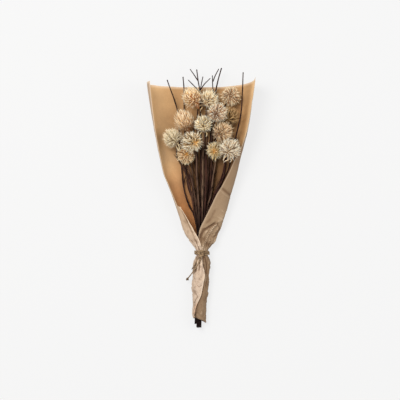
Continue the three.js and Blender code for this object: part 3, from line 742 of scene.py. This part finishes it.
# Painted shade in the notches between the ridge's slanting marks.
turn = n.math("MULTIPLY", n.attribute("mark_run"), math.pi / MARK_SPACING)
tick = n.level(n.math("ABSOLUTE", n.math("SINE", turn)), 0.75, 0.15)
base = n.tint(base, n.math("MULTIPLY", n.attribute("marked"), tick), 0.75, srgb(92, 68, 48))
n.set(shader, "Base Color", base)
height = n.math("ADD", n.math("MULTIPLY", pulp, 0.5), n.math("MULTIPLY", ribs, 0.4))
n.set(shader, "Normal", n.bump(height, 0.22, 0.0002, n.bump(wrinkle, 0.4, 0.0010)))
quads = np.vstack([outer_faces, inner_faces, *cut_edges])
paper = mesh_piece("kraft_paper_look", [(points, quads, [], values)], kraft)
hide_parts("kraft_paper")

# ---- thistle heads -----------------------------------------------------------------------------
# Each head is a ball of stiff papery bracts set in a spiral, grown on its stem's end: keeled
# blades with a sharp cream point, tan lower down and dark at the root. Three heads are golden in
# the middle, where their bracts part.
HEADS = [dict(zip((  # one row a head, in mm and degrees
    "at", "tip", "eye",  # its middle, the way its stem carries it, and where its bracts part
    "radius", "reach", "long",  # its size, the bracts' share of it, its stretch towards the tip
    "gold", "dusky",  # how wide its golden middle is, and how dark a brown one
    "count", "width", "lean", "open",  # bracts: number, share of the radius, sweep, bent tips
    "root", "body", "point",  # colours along a bract
), row)) for row in (
    ((-17, 298, 42), (-0.6, 0.6, 0.5), (-0.42, 0.78, 0.46), 18.5, 1.05, 1.16, 0, 0,
     430, 0.121, 18, 0.05, (160, 104, 60), (255, 220, 160), (255, 248, 220)),
    ((14.5, 294, 21.6), (0.25, 0.85, 0.35), (-0.42, -0.48, 0.77), 18.5, 1.12, 1, 0, 0,
     430, 0.116, -26, 0.04, (104, 64, 42), (246, 212, 156), (255, 254, 228)),
    ((57, 301, 28.5), (0.15, 0.25, 0.95), (-0.12, 0.16, 0.98), 18.5, 1.03, 1, 0, 0.4,
     430, 0.116, -24, 0.08, (62, 30, 20), (196, 148, 100), (255, 242, 206)),
    ((30.7, 268, 48), (0.15, 0.35, 0.92), (-0.24, -0.28, 0.93), 18.5, 1.04, 1, 0, 0.8,
     430, 0.116, -26, 0.1, (62, 22, 18), (198, 152, 106), (255, 250, 224)),
    ((55, 260.5, 21.8), (0.1, 0.85, 0.4), (-0.35, -0.4, 0.85), 17, 1.15, 1.05, 0, 0,
     430, 0.116, -26, 0.03, (46, 28, 16), (156, 120, 72), (220, 186, 134)),
    ((-32.7, 253.5, 28.5), (-0.35, 0.85, 0.35), (-0.35, 0.85, 0.35), 18.5, 1.02, 1.3, 0, 0,
     460, 0.12, 28, 0.02, (146, 98, 56), (248, 206, 150), (255, 242, 210)),
    ((4.2, 246.5, 33.5), (-0.1, 0.85, 0.5), (0.05, -0.48, 0.87), 17.5, 1.02, 1.1, 0, 0,
     430, 0.126, -26, 0.06, (72, 48, 26), (236, 206, 150), (255, 252, 228)),
    ((40, 231.5, 38), (0.7, 0.5, 0.5), (-0.37, -0.32, 0.87), 19.5, 1.03, 1.05, 0, 0.35,
     430, 0.116, -26, 0.08, (68, 34, 22), (196, 154, 104), (255, 234, 196)),
    ((-55, 219.5, 34), (-0.65, 0.68, 0.33), (0.4, -0.4, 0.82), 19, 1.0, 1.05, 0, 0,
     460, 0.12, -24, 0.04, (112, 90, 60), (212, 190, 148), (255, 244, 214)),
    ((-18, 212.5, 54.0), (0.3, -0.1, 0.95), (0.48, -0.1, 0.87), 20.5, 0.99, 1, 28, 0,
     430, 0.115, -26, 0.05, (54, 32, 18), (186, 150, 96), (255, 248, 222)),
    ((27, 197, 27.5), (-0.2, 0.3, 0.93), (-0.11, -0.2, 0.97), 16, 1.1, 1.15, 30, 0,
     430, 0.116, -26, 0.05, (84, 50, 24), (214, 180, 116), (255, 244, 210)),
    ((54.5, 198, 52.6), (0.5, 0.6, 0.6), (-0.28, -0.38, 0.88), 20, 1.05, 1.05, 0, 0.2,
     430, 0.121, -28, 0.1, (64, 38, 28), (204, 172, 130), (255, 250, 228)),
    ((-29.6, 187.3, 28.5), (0.1, 0.15, 0.98), (0.13, 0.22, 0.97), 17, 1.04, 1, 26, 0,
     430, 0.116, -24, 0.05, (76, 40, 22), (200, 152, 96), (255, 238, 198)),
)]
INNER_COUNT, RINGS = 90, 6  # shorter bracts between the others, and rings of points in each bract
CORE = 0.58  # radius of the core that the bracts stand on, as a share of the head's
HEAD_SEED = 100
GOLDEN = math.pi * (3 - math.sqrt(5))  # turn from one bract to the next in the spiral


def bract_reach(polar):
    """Share of the head's radius that a bract reaches, by its angle from the tip in degrees."""
    return 1 - 0.42 * smooth((polar - 105) / 65)


def within_paper(points):
    """The points, with those that would reach through the paper drawn back to its inner face. Each
    is measured from the section's middle: its superellipse radius is the n-th root of the sum of
    the n-th powers of its two offsets, each over the section's half size, and 1 is the face."""
    wall = 0.9
    on_right = points[:, 0] > read_table(SECTIONS, 1, points[:, 1])
    middle_x, middle_z, half, height, square, reach, _ = section_at(points[:, 1], on_right)
    across, up = points[:, 0] - middle_x, points[:, 2] - middle_z
    radius = ((np.abs(across) / (half - wall)) ** square
              + (np.abs(up) / (height - wall)) ** square) ** (1 / square)
    edge = -height * signed_power(np.cos(np.radians(reach)), 2 / square)
    back = np.where((radius > 1) & (up < edge + 1), 1 / np.maximum(radius, 1), 1)
    return np.stack([middle_x + across * back, points[:, 1], middle_z + up * back], -1)


def on_ball(polar, azimuth, reach=1.0):
    """Points `reach` from the origin, by angle from the pole in degrees and angle round it."""
    a = np.radians(polar)
    return np.stack([reach * np.sin(a) * np.cos(azimuth), reach * np.sin(a) * np.sin(azimuth),
                     reach * np.cos(a)], -1)


def strip_faces(count, rings):
    """Quads of strips that follow each other, each of rings of four points, closed at its ends."""
    first = np.arange(count)[:, None] * rings * 4
    sides = (first[:, :, None] + grid_faces(rings, 4)).reshape(-1, 4)
    return np.vstack([sides, first + [0, 1, 2, 3], first + (rings - 1) * 4 + [3, 2, 1, 0]])


def bract_blades(head, polar, azimuth, length, width, lean, draw):
    """Blades as rings of four points: left edge, keel, right edge and hollow inner side.
    A blade's middle runs on a quadratic curve from the core to its tip. `lean` is how far, in
    degrees, that curve turns towards the eye: below zero it turns away, so the bracts spread. Its
    tip bends back by `open`, and its width swells a little and then closes to a sharp point."""
    radius, root, count = head["radius"], CORE * head["radius"], len(polar)
    low = on_ball(np.clip(polar + lean * 0.9, 1, 172), azimuth, root)
    high = on_ball(np.clip(polar - lean * 0.25, 1, 172), azimuth, length)
    belly = on_ball(np.clip(polar + lean * 0.45, 1, 165), azimuth, 0.52 * (root + length))
    high = high + draw.normal(size=(count, 3)) * 0.1 * radius
    s = np.linspace(0, 1, RINGS)[None, :, None]
    line = low[:, None] * (1 - s) ** 2 + 2 * belly[:, None] * s * (1 - s) + high[:, None] * s**2
    back = head["open"] * radius * np.sin(np.radians(polar)) * draw.uniform(0.2, 1.8, count)
    line = line - UP * back[:, None, None] * s**3
    tangent = unit(np.gradient(line, axis=1))
    level = np.stack([-np.sin(azimuth), np.cos(azimuth), 0 * azimuth], -1)
    side = unit(level[:, None] - tangent * np.sum(tangent * level[:, None], -1, keepdims=True))
    outward = np.cross(tangent, side)
    facing = np.sum(outward * unit(belly)[:, None], -1, keepdims=True).mean(axis=1, keepdims=True)
    outward = outward * np.where(facing < 0, -1, 1)
    twist = (draw.normal(size=count) * 0.35)[:, None, None] * s
    side, outward = (side * np.cos(twist) + outward * np.sin(twist),
                     outward * np.cos(twist) - side * np.sin(twist))
    half = 0.5 * width[:, None, None] * np.minimum(1, 0.75 + 1.2 * s) * (1 - s) ** 0.92 + 0.05
    blades = np.stack([line + side * half, line + outward * half * 0.9, line - side * half,
                       line - outward * np.minimum(0.16, half * 0.35)], axis=2)
    along = np.broadcast_to(s, (count, RINGS, 4)).reshape(-1)
    return blades.reshape(-1, 3), strip_faces(count, RINGS), along


def ribbon(middle, half, turn):
    """A thin strip along a line: half its width and its turn about the line are given per point."""
    tangent, side, other = tube_frames(middle)
    across = side * np.cos(turn)[:, None] + other * np.sin(turn)[:, None]
    up = np.cross(tangent, across)
    half = half[:, None]
    ring = np.stack([middle + across * half, middle + up * (0.16 + half * 0.3),
                     middle - across * half, middle - up * (0.12 - half * 0.3)], axis=1)
    return ring.reshape(-1, 3), strip_faces(1, len(middle))


LOOSE = {  # by head: long papery bracts that have come away and curl past it, points and width
    2: [([(0, 284, 32), (-5, 281, 31), (-8, 276, 28)], 1.7),
        ([(3, 280, 30), (-1, 276, 28), (-2, 271, 25)], 1.6)],
    7: [([(1, 232, 42), (-2, 228, 40), (0, 224, 36)], 1.6),
        ([(9, 232, 40), (11, 228, 38), (9, 223, 34)], 1.5)],
    9: [([(-46, 211, 44), (-43, 206, 44), (-42, 200, 40), (-44, 196, 36)], 1.9),
        ([(-49, 206, 44), (-46, 201, 42), (-46, 196, 37)], 1.7),
        ([(-43, 209, 42), (-39, 205, 39), (-39, 200, 34)], 1.6),
        ([(-46, 203, 40), (-43, 197, 37), (-39, 193, 33)], 1.8)],
    11: [([(23.5, 185, 38), (21.5, 180, 38), (22.5, 176, 34)], 1.8),
         ([(29, 184, 38), (27, 180, 37), (28.5, 176, 33)], 1.5)],
    12: [([(46, 190, 62), (40, 189, 62), (36, 186, 58), (36, 182, 53)], 1.9),
         ([(50, 187, 64), (45, 183, 62), (42, 178, 57), (44, 174, 52)], 2.1),
         ([(54, 184, 64), (51, 178, 62), (46, 176, 57), (42, 172, 52)], 1.8),
         ([(59, 185, 62), (58, 178, 60), (54, 173, 55)], 1.7),
         ([(44, 193, 60), (38, 193, 58), (35, 190, 53)], 1.6)],
}


def bract_parts(head, grown, turned, draw):
    """The outer and the shorter inner bracts, spaced evenly by a spiral: the cosine of a bract's
    angle from the pole falls evenly with its number."""
    radius = head["radius"]
    layers = (head["count"], 152, 1, 1), (INNER_COUNT, 140, 0.86, 0.72)
    for count, widest, shorter, browner in layers:
        i = np.arange(count)
        polar = np.degrees(np.arccos(1 - (1 - math.cos(math.radians(widest))) * (i + 0.5) / count))
        polar = np.abs(polar + draw.normal(size=count) * 2.5)
        azimuth = i * GOLDEN + draw.normal(size=count) * 0.1
        golden = smooth((head["gold"] + 10 - polar) / 16) * (head["gold"] > 0)
        from_tip = np.degrees(np.arccos(np.clip(on_ball(polar, azimuth) @ turned @ grown, -1, 1)))
        # Painted shade on the head's underside, and the brown middle of dusky heads.
        shade_and_brown_middle = np.maximum(smooth((from_tip - 86) / 46), head["dusky"] * smooth((44 - polar) / 26))
        length = radius * bract_reach(from_tip) * draw.uniform(0.84, 1.09, count)
        length = length * (head["reach"] - 0.05 * golden) * shorter
        width = radius * head["width"] * draw.uniform(0.8, 1.2, count) * (1 - 0.15 * golden)
        lean = head["lean"] * draw.uniform(0.75, 1.25, count)
        blades, quads, along = bract_blades(head, polar, azimuth, length, width, lean, draw)
        if head["lean"] < 0:
            along = along**1.3
        values = {"tone": draw.uniform(0, 1, count), "gold": golden, "shade_and_brown_middle": shade_and_brown_middle}
        values = {name: np.repeat(mask, RINGS * 4) for name, mask in values.items()}
        yield blades, quads, [], {"along": along * browner, **values}


def head_core(head):
    """The ball under the bracts and the neck that it narrows to: a radius and a width by the angle
    from the tip, turned about the axis."""
    steps, sides, neck_from = 12, 16, 2.4
    a = np.linspace(0, math.pi, steps + 2)[1:-1]
    turn = np.linspace(0, 2 * math.pi, sides, endpoint=False)
    radius = (0.66 if head["lean"] > 0 else CORE) * head["radius"] * (1 + 0.05 * np.cos(a * 9))
    neck = np.where(a > neck_from, 1 + 1.9 * (a - neck_from), 1)
    waist = np.where(a > neck_from, np.maximum(0.35, 1 - 0.9 * (a - neck_from)), 1)
    across = (radius * np.sin(a) * waist)[:, None]
    ring = np.stack([across * np.cos(turn), across * np.sin(turn),
                     (radius * np.cos(a) * neck)[:, None] + 0 * turn], -1).reshape(-1, 3)
    poles = [[0, 0, radius[0]], [0, 0, -head["radius"] * bract_reach(180) - 0.3]]
    facing = np.concatenate([np.repeat(smooth((1.05 - a) / 0.8), sides), [1, 0]])
    # The core's side away from the tip is painted darker as shade.
    return (np.vstack([ring, poles]), grid_faces(steps, sides), end_fans(steps, sides)[:, ::-1],
            {"along": 0.12 + 0.2 * facing, "tone": 0.5, "gold": facing * (head["gold"] > 0),
             "shade_and_brown_middle": 0.5 * (1 - facing)})


def head_piece(index, head):
    """All bracts of one head with its core, neck and loose bracts, as one mesh."""
    draw = np.random.default_rng(HEAD_SEED + index)
    grown = unit(np.asarray(head["tip"], float))
    axis = unit(np.asarray(head["eye"], float))
    level = unit(np.cross(UP, axis))
    turned = np.stack([level, np.cross(axis, level), axis])
    points, *rest = joined([*bract_parts(head, grown, turned, draw), head_core(head)])
    points = points @ turned
    points = points + (head["long"] - 1) * (points @ grown)[:, None] * grown
    parts = [(within_paper(points + np.asarray(head["at"], float)), *rest)]
    s = np.linspace(0, 1, 10)
    for route, width in LOOSE.get(index, []):
        half = 0.5 * width * np.sin(math.pi * (0.12 + 0.84 * s)) ** 0.8
        strip, quads = ribbon(catmull(route, 10), half, draw.uniform(-0.5, 0.5) + 0.9 * s)
        parts.append((strip, quads, [],
                      {"along": np.repeat(0.3 + 0.4 * s, 4), "tone": 0.3, "gold": 0.0, "shade_and_brown_middle": 0.0}))
    colours = {name.title(): srgb(*head[name]) for name in ("root", "body", "point")}
    look = group_material(f"thistle_bracts_{index:02d}", 0.6, 0.3, dry_bract, BRACT_RELIEF,
                          **colours)
    piece = mesh_piece(f"thistle_head_{index:02d}_look", parts, look, flat=True)
    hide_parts(f"thistle_head_{index:02d}")


def colour_group(name, colours):
    """A new node group that takes the named colours and gives Colour and Height. It comes as the
    short calls to build its nodes, its input sockets and its output node."""
    tree = bpy.data.node_groups.new(name, "ShaderNodeTree")
    for colour in colours:
        tree.interface.new_socket(colour, in_out="INPUT", socket_type="NodeSocketColor")
    tree.interface.new_socket("Colour", in_out="OUTPUT", socket_type="NodeSocketColor")
    tree.interface.new_socket("Height", in_out="OUTPUT", socket_type="NodeSocketFloat")
    return Nodes(tree), tree.nodes.new("NodeGroupInput").outputs, tree.nodes.new("NodeGroupOutput")


def group_material(name, roughness, specular, group, relief, **colours):
    """A material with a group's look in these colours. relief is its bump's strength and depth."""
    made, n, shader = material(name, roughness, specular)
    look = n.add("ShaderNodeGroup", {"node_tree": group}, **colours).outputs
    n.set(shader, "Base Color", look["Colour"])
    n.set(shader, "Normal", n.bump(look["Height"], *relief))
    return made


def dry_bract_group():
    """Colour of a dry bract: root to body to point along it, golden towards the head's middle,
    browner by painted shade on the head's underside and by the brown middle of dusky heads, with
    veins, a few browned bracts and a few bleached ones."""
    n, given, made = colour_group("dry_bract", ("Root", "Body", "Point"))
    along, tone = n.attribute("along"), n.attribute("tone")
    veins = n.noise(1400, 1400, 1400, 3.0, 0.6)
    colour = n.mix(n.level(along, 0.14, 0.42), given["Root"], given["Body"])
    colour = n.mix(n.level(along, 0.46, 0.76), colour, given["Point"])
    golden = n.mix(n.level(along, 0.4, 0.95), srgb(218, 158, 78), srgb(255, 230, 158))
    colour = n.tint(colour, n.attribute("gold"), 0.85, golden)
    colour = n.tint(colour, n.level(tone, 0.55, 0.95), 0.6, given["Root"])
    # Painted shade on the underside and the dusky middles move towards the root colour.
    colour = n.tint(colour, n.attribute("shade_and_brown_middle"), 0.72, given["Root"])
    colour = n.tint(colour, n.level(tone, 0.35, 0.0), n.level(along, 0.4, 0.8), given["Point"])
    colour = n.tint(colour, n.level(n.noise(260, 260, 260), 0.55, 0.75), 0.2, given["Root"])
    colour = n.tint(colour, n.level(veins, 0.4, 0.7), 0.15, srgb(120, 84, 50), "MULTIPLY")
    n.set(made, "Colour", colour)
    n.set(made, "Height", veins)
    return n.tree


dry_bract = dry_bract_group()
BRACT_RELIEF = (0.25, 0.0002)
for index, head in enumerate(HEADS, 1):
    head_piece(index, head)

# ---- stems -------------------------------------------------------------------------------------
# Dry ridged thistle stems, dark brown with a few pale ones. Seventeen run from their cut feet
# through the twine: thirteen end at heads, and four reach up behind them. Each follows its solid.
SLOT_ROWS = {-2: 4, -1: 5, 0: 4, 1: 5, 2: 4}  # places in each row of the bundle, from the back
STEM_PITCH = 3.5
FOOT_RADIUS, NECK_RADIUS = 1.5, 1.35
STEM_SEED, LEAF_SEED, BARE_SEED = 200, 300, 30
LEAVES, BARE_LEAVES = 7, 8
BUNDLE_DRIFT = [  # y, and the bundle's middle x and z there
    [-150, -4.6, 10.7], [-110, -4.0, 10.7], [-60, -1.6, 10.8], [-16, 1.8, 13.2], [0, 2.2, 15.0],
    [16, 2.6, 14.2]]
STEMS = [  # slot in the bundle: row, place; route above the twine
    ((0, 1), [[-3, 70, 12.6], [-7, 140, 11.5], [-8, 200, 12], [-8, 256, 18]]),
    ((-1, 2), [[5.5, 120, 9], [7, 200, 9], [9, 258, 9.5]]),
    ((-2, 3), [[13.5, 120, 5.4], [23, 190, 5], [31, 245, 5.5], [42, 278, 6]]),
    ((0, 2), [[6.5, 70, 14.2], [10.5, 120, 13], [16, 190, 11], [22, 232, 18]]),
    ((-1, 4), [[27, 117, 9.5], [38, 142, 9.5], [46, 172, 9], [50, 208, 8.5]]),
    ((0, 0), [[-9, 70, 14.6], [-14.5, 120, 13], [-20, 190, 9], [-22, 214, 13]]),
    ((2, 1), [[2, 70, 21.6], [2.5, 120, 22.5], [3.5, 190, 21]]),
    ((0, 3), [[12, 70, 13.4], [18, 120, 11.5], [25.5, 165, 8], [28, 184, 7.5], [29.5, 202, 9]]),
    ((1, 0), [[-17, 100, 18.5], [-22, 125, 19.5], [-29.5, 152, 15.5], [-40, 174, 16.5],
              [-48, 192, 23]]),
    ((2, 0), [[-5.5, 100, 23], [-9, 155, 26], [-10.2, 187, 32]]),
    ((1, 3), [[12.5, 90, 16.5], [18.5, 110, 16], [23, 145, 14]]),
    ((2, 3), [[15, 80, 23], [27, 115, 26], [38, 134, 28.5], [44, 150, 30]]),
    ((1, 1), [[-9.5, 90, 19], [-19.5, 145, 17]]),
]
BARE_STEMS = [
    ((2, 2), [[8.5, 120, 21], [10, 190, 23], [12.5, 224, 26]]),
    ((1, 2), [[2.2, 70, 16.6], [0.5, 120, 14.5], [0.5, 170, 14], [1, 220, 14]]),
    ((-1, 3), [[10.2, 70, 10], [16.5, 120, 7.8], [20, 180, 9.5], [22.5, 226, 9.5]]),
    ((-2, 0), [[-7, 120, 5], [-13, 190, 5], [-15, 240, 6]]),
]


def ridged_bark_group():
    """Colour of dry bark: dark to pale in fine streaks along the stem, dusty in patches, bleached
    where the stem is old, dark at its nodes and cut foot, darker by painted shade where the stems are
    packed above the twine, and pale on the cut face's pith."""
    n, given, made = colour_group("ridged_bark", ("Dark", "Pale", "Dusty"))
    streak = n.noise(900, 60, 900, 4.0, 0.65)
    patch = n.noise(60, 26, 60)
    colour = n.mix(n.level(streak, 0.35, 0.7), given["Dark"], given["Pale"])
    colour = n.tint(colour, n.level(patch, 0.5, 0.8), 0.5, given["Dusty"])
    colour = n.mix(n.attribute("bleach"), colour, srgb(122, 97, 76))
    # node holds the dark nodes and cut foot, and the painted shade among the packed stems.
    colour = n.tint(colour, n.attribute("node"), 0.7, given["Dark"])
    colour = n.mix(n.attribute("pith"), colour, srgb(150, 122, 90))
    n.set(made, "Colour", colour)
    n.set(made, "Height", streak)
    return n.tree


ridged_bark = ridged_bark_group()
BARK_RELIEF = (0.5, 0.0004)
stem_bark = group_material("thistle_stem_bark", 0.85, 0.15, ridged_bark, BARK_RELIEF,
                           Dark=srgb(24, 11, 9), Pale=srgb(74, 42, 32), Dusty=srgb(96, 61, 46))


def bundle_point(slot, y):
    """The middle of one place in the bundle. Round stems lie in rows, each row in the gaps of the
    last, so the rows stand the pitch times the sine of 60 degrees apart."""
    row, place = slot
    x = (place - (SLOT_ROWS[row] - 1) / 2) * STEM_PITCH
    z = row * STEM_PITCH * math.sin(math.pi / 3)
    return [float(read_table(BUNDLE_DRIFT, 1, y)) + x, y, float(read_table(BUNDLE_DRIFT, 2, y)) + z]


def stem_route(slot):
    """The part of a stem from its cut foot to just above the twine. The bundle is cut in steps."""
    x = bundle_point(slot, -140)[0]
    foot = -124 if x > -0.5 else (-138 if x < -9.5 else -145)
    return [bundle_point(slot, y) for y in (foot, -100, -60, -16, 0, 16)]


def packed(points):
    """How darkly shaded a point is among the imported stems, 0 to 1.25: most just above the twine."""
    return 1.25 * smooth((110 - points[:, 1]) / 72) * smooth(points[:, 1] / 10)


def bark_tube(route, from_radius, to_radius, seed, count=90, sides=9, bleach=0.0, nodes=5):
    """A ridged tube whose radius runs evenly along it, with swollen leaf nodes above the twine."""
    draw = np.random.default_rng(seed)
    line = catmull(route, count)
    line[0] = line[0] + (line[2] - line[0]) * draw.uniform(0.0, 0.2) * (line[0, 1] < -100)
    t = np.linspace(0, 1, count)
    swell = sum(np.exp(-((t - k) * 110) ** 2) for k in draw.uniform(0.35, 0.97, nodes))
    radius = (from_radius + (to_radius - from_radius) * t) * (0.95 + 0.17 * swell)
    radius = radius * (1 + 0.16 * smooth((line[:, 1] - 40) / 50) * smooth((1 - t) / 0.1))
    ridge = 1 + 0.07 * np.cos(np.arange(sides) * 2 * math.pi / sides * 3)
    radius = radius[:, None] * ridge * (1 + 0.05 * noise3(line, 6, seed)[:, None])
    points, quads, triangles = tube(line, radius, sides)
    foot = smooth((-108 - points[:, 1]) / 10)
    node = np.concatenate([np.repeat(swell, sides), [0, 0]])
    pith = np.zeros(len(points))
    pith[-2] = 0.8  # the middle of the cut foot
    # Painted shade among the packed stems joins the dark nodes and keeps pale stems from showing pale
    # there.
    dark = np.maximum(np.clip(node, 0, 1), packed(points))
    return points, quads, triangles, {"bleach": bleach * (1 - foot) * (1 - 0.55 * packed(points)),
                                      "pith": pith, "node": np.maximum(dark, 1.45 * foot)}


def withered_leaf(line, start, length, width, seed):
    """A narrow dry leaf from one point of a stem's line: a strip whose middle follows the stem and
    drifts off it with the square of its run, and whose width is a sine of its run."""
    draw = np.random.default_rng(seed)
    run = run_along(line)
    s = np.linspace(0, 1, 12)
    want = run[start] + s * length
    middle = np.column_stack([np.interp(want, run, line[:, k]) for k in range(3)])
    away = unit(draw.normal(size=3) * np.array([1, 0.2, 0.55]))
    middle = middle + (1.4 + draw.uniform(1.5, 5.0) * s[:, None] ** 2) * away
    middle[:, 0] += 1.1 * np.sin(s * math.pi * draw.uniform(1.0, 2.4) + seed)
    half = 0.5 * width * np.sin(math.pi * (0.06 + 0.92 * s)) ** 0.7
    points, quads = ribbon(middle, half, draw.uniform(0, math.pi) + draw.normal() * 1.5 * s)
    points = within_paper(points)
    # Painted shade among the packed stems.
    dark = packed(points)
    bleach = draw.choice([0.0, 0.0, 0.0, 0.25]) * (1 - np.minimum(dark, 1))
    return points, quads, [], {"bleach": bleach, "node": np.maximum(0.2, dark), "pith": 0.0}


def leaves_on(route, seed, count):
    """Withered leaves on the open part of a stem, between the paper and its head."""
    draw = np.random.default_rng(seed)
    line = catmull(route, 90)
    open_from, open_to = 38, min(line[-1, 1], 215) - 32
    starts = np.nonzero((line[:, 1] > open_from) & (line[:, 1] < open_to))[0]
    return [withered_leaf(line, draw.choice(starts), draw.uniform(16, 34), draw.uniform(1.6, 3.4),
                          seed * 7 + k) for k in range(count)]


def bark_piece(name, parts, look):
    """One stem or twig from its parts, in place of the node of that name."""
    piece = mesh_piece(f"{name}_look", parts, look)
    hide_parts(name)


def stem_piece(name, route, index, bleach, leaves):
    """A stem with its withered leaves. index sets the random draws of both."""
    parts = [bark_tube(route, FOOT_RADIUS, NECK_RADIUS, STEM_SEED + index, bleach=bleach)]
    parts += leaves_on(route, LEAF_SEED + index, leaves)
    bark_piece(name, parts, stem_bark)


PALE = {1: 0.1, 2: 0.25, 4: 0.2, 6: 0.35, 7: 0.6, 9: 0.12, 10: 0.4, 11: 0.6, 13: 0.25}  # by stem
for index, ((slot, via), head) in enumerate(zip(STEMS, HEADS), 1):
    axis = unit(np.asarray(head["tip"], float))
    end = np.asarray(head["at"], float) - axis * (head["radius"] * head["long"] * CORE - 1.2)
    route = stem_route(slot) + via + [end - axis * 6, end]
    stem_piece(f"thistle_stem_{index:02d}", route, index, PALE.get(index, 0.0), LEAVES)
for index, (slot, via) in enumerate(BARE_STEMS, 1):
    bleach = 0.3 if index == 2 else 0.05
    route = stem_route(slot) + via
    stem_piece(f"bare_stem_{index:02d}", route, BARE_SEED + index, bleach, BARE_LEAVES)

# ---- twigs -------------------------------------------------------------------------------------
# Five bare twigs with smooth, darker, reddish bark rise past the heads. Their shoots fork and end
# in small pointed buds, and their feet are bound in with the stems.
twig_bark = group_material("twig_bark", 0.85, 0.15, ridged_bark, BARK_RELIEF,
                           Dark=srgb(34, 20, 19), Pale=srgb(62, 38, 32), Dusty=srgb(80, 56, 47))
TIP_RADIUS = 0.95
TWIG_SEED, SHOOT_SEED = 250, 260
TWIGS = [  # place in the bundle, route above the twine, and routes of its side shoots
    ((-1, 0), [[-14, 72, 8], [-24, 92, 7], [-32.5, 119, 7], [-35, 134, 8], [-38, 168, 9],
               [-42, 215, 9], [-45.5, 272, 12], [-65, 331, 26]],
     [[[-34.5, 132, 8], [-29, 150, 12], [-27, 160, 13]]]),
    ((-1, 1), [[-17, 102, 9], [-25.5, 127, 8], [-29, 160, 6], [-31, 215, 5.5], [-33, 270, 6],
               [-33.5, 319, 14], [-35, 337, 22]],
     [[[-29, 158, 6], [-35, 172, 4.5], [-38, 184, 4.5]]]),
    ((-2, 1), [[-1, 120, 5], [-1.5, 200, 4.5], [-2, 275, 5], [-2, 307, 9], [-6, 332, 18],
               [-8.5, 351, 24]],
     [[[-6, 331, 17.6], [-12, 340, 22], [-20.5, 352, 26]],
      [[-2, 303, 8], [-1, 318, 14], [3, 338, 20]],
      [[-1, 315, 12], [6, 325, 18], [16.5, 335, 24]],
      [[-3.5, 312, 11], [-12, 320, 15], [-24, 332, 20]]]),
    ((-2, 2), [[10, 120, 4.8], [16, 200, 4.5], [22, 268, 5], [26.5, 303, 7.5], [32, 331, 17],
               [38.5, 354, 23]],
     [[[26, 299, 6.8], [22.5, 318, 13], [21.5, 340, 24]],
      [[22.5, 330, 20], [27, 341, 26], [33, 352, 32]]]),
    ((1, 4), [[21.5, 70, 22], [34.5, 121, 25], [53, 163, 23], [57, 181, 24], [62, 200, 23.5],
              [67, 225, 27], [76, 267, 37], [78.5, 304, 42], [80, 344, 44]], []),
]


def bud(at, along, size, seed):
    """A pointed bud, ribbed by its scales: a spindle whose radius swells and then closes."""
    sides = 7
    t = np.linspace(0, 1, 9)
    line = np.asarray(at) + (t[:, None] * 3.2 * size - 0.7 * size) * along
    radius = size * (0.35 + 1.15 * np.sin(math.pi * t**0.8) ** 0.9 - 0.3 * t)
    radius = np.maximum(radius, 0.08)[:, None] * (1 + 0.12 * np.cos(np.arange(sides) * 2.7 + seed))
    return *tube(line, radius, sides), {"bleach": 0.0, "node": 0.7, "pith": 0.0}


for index, (slot, main, shoots) in enumerate(TWIGS, 1):
    tip = TIP_RADIUS * (1.25 if index == 4 else 1.1)
    route = stem_route(slot) + main
    parts = [bark_tube(route, FOOT_RADIUS, tip, TWIG_SEED + index, count=120, sides=8, nodes=12)]
    for i, route in enumerate([main] + shoots):
        route = np.asarray(route, float)
        radius = TIP_RADIUS * (0.8 if i else 1.0)
        if i:
            parts.append(bark_tube(route, TIP_RADIUS * 1.05, radius, SHOOT_SEED + 10 * index + i,
                                   count=20, sides=7, nodes=2))
        parts.append(bud(route[-1], unit(route[-1] - route[-2]), radius, i))
    bark_piece(f"twig_{index:02d}", parts, twig_bark)
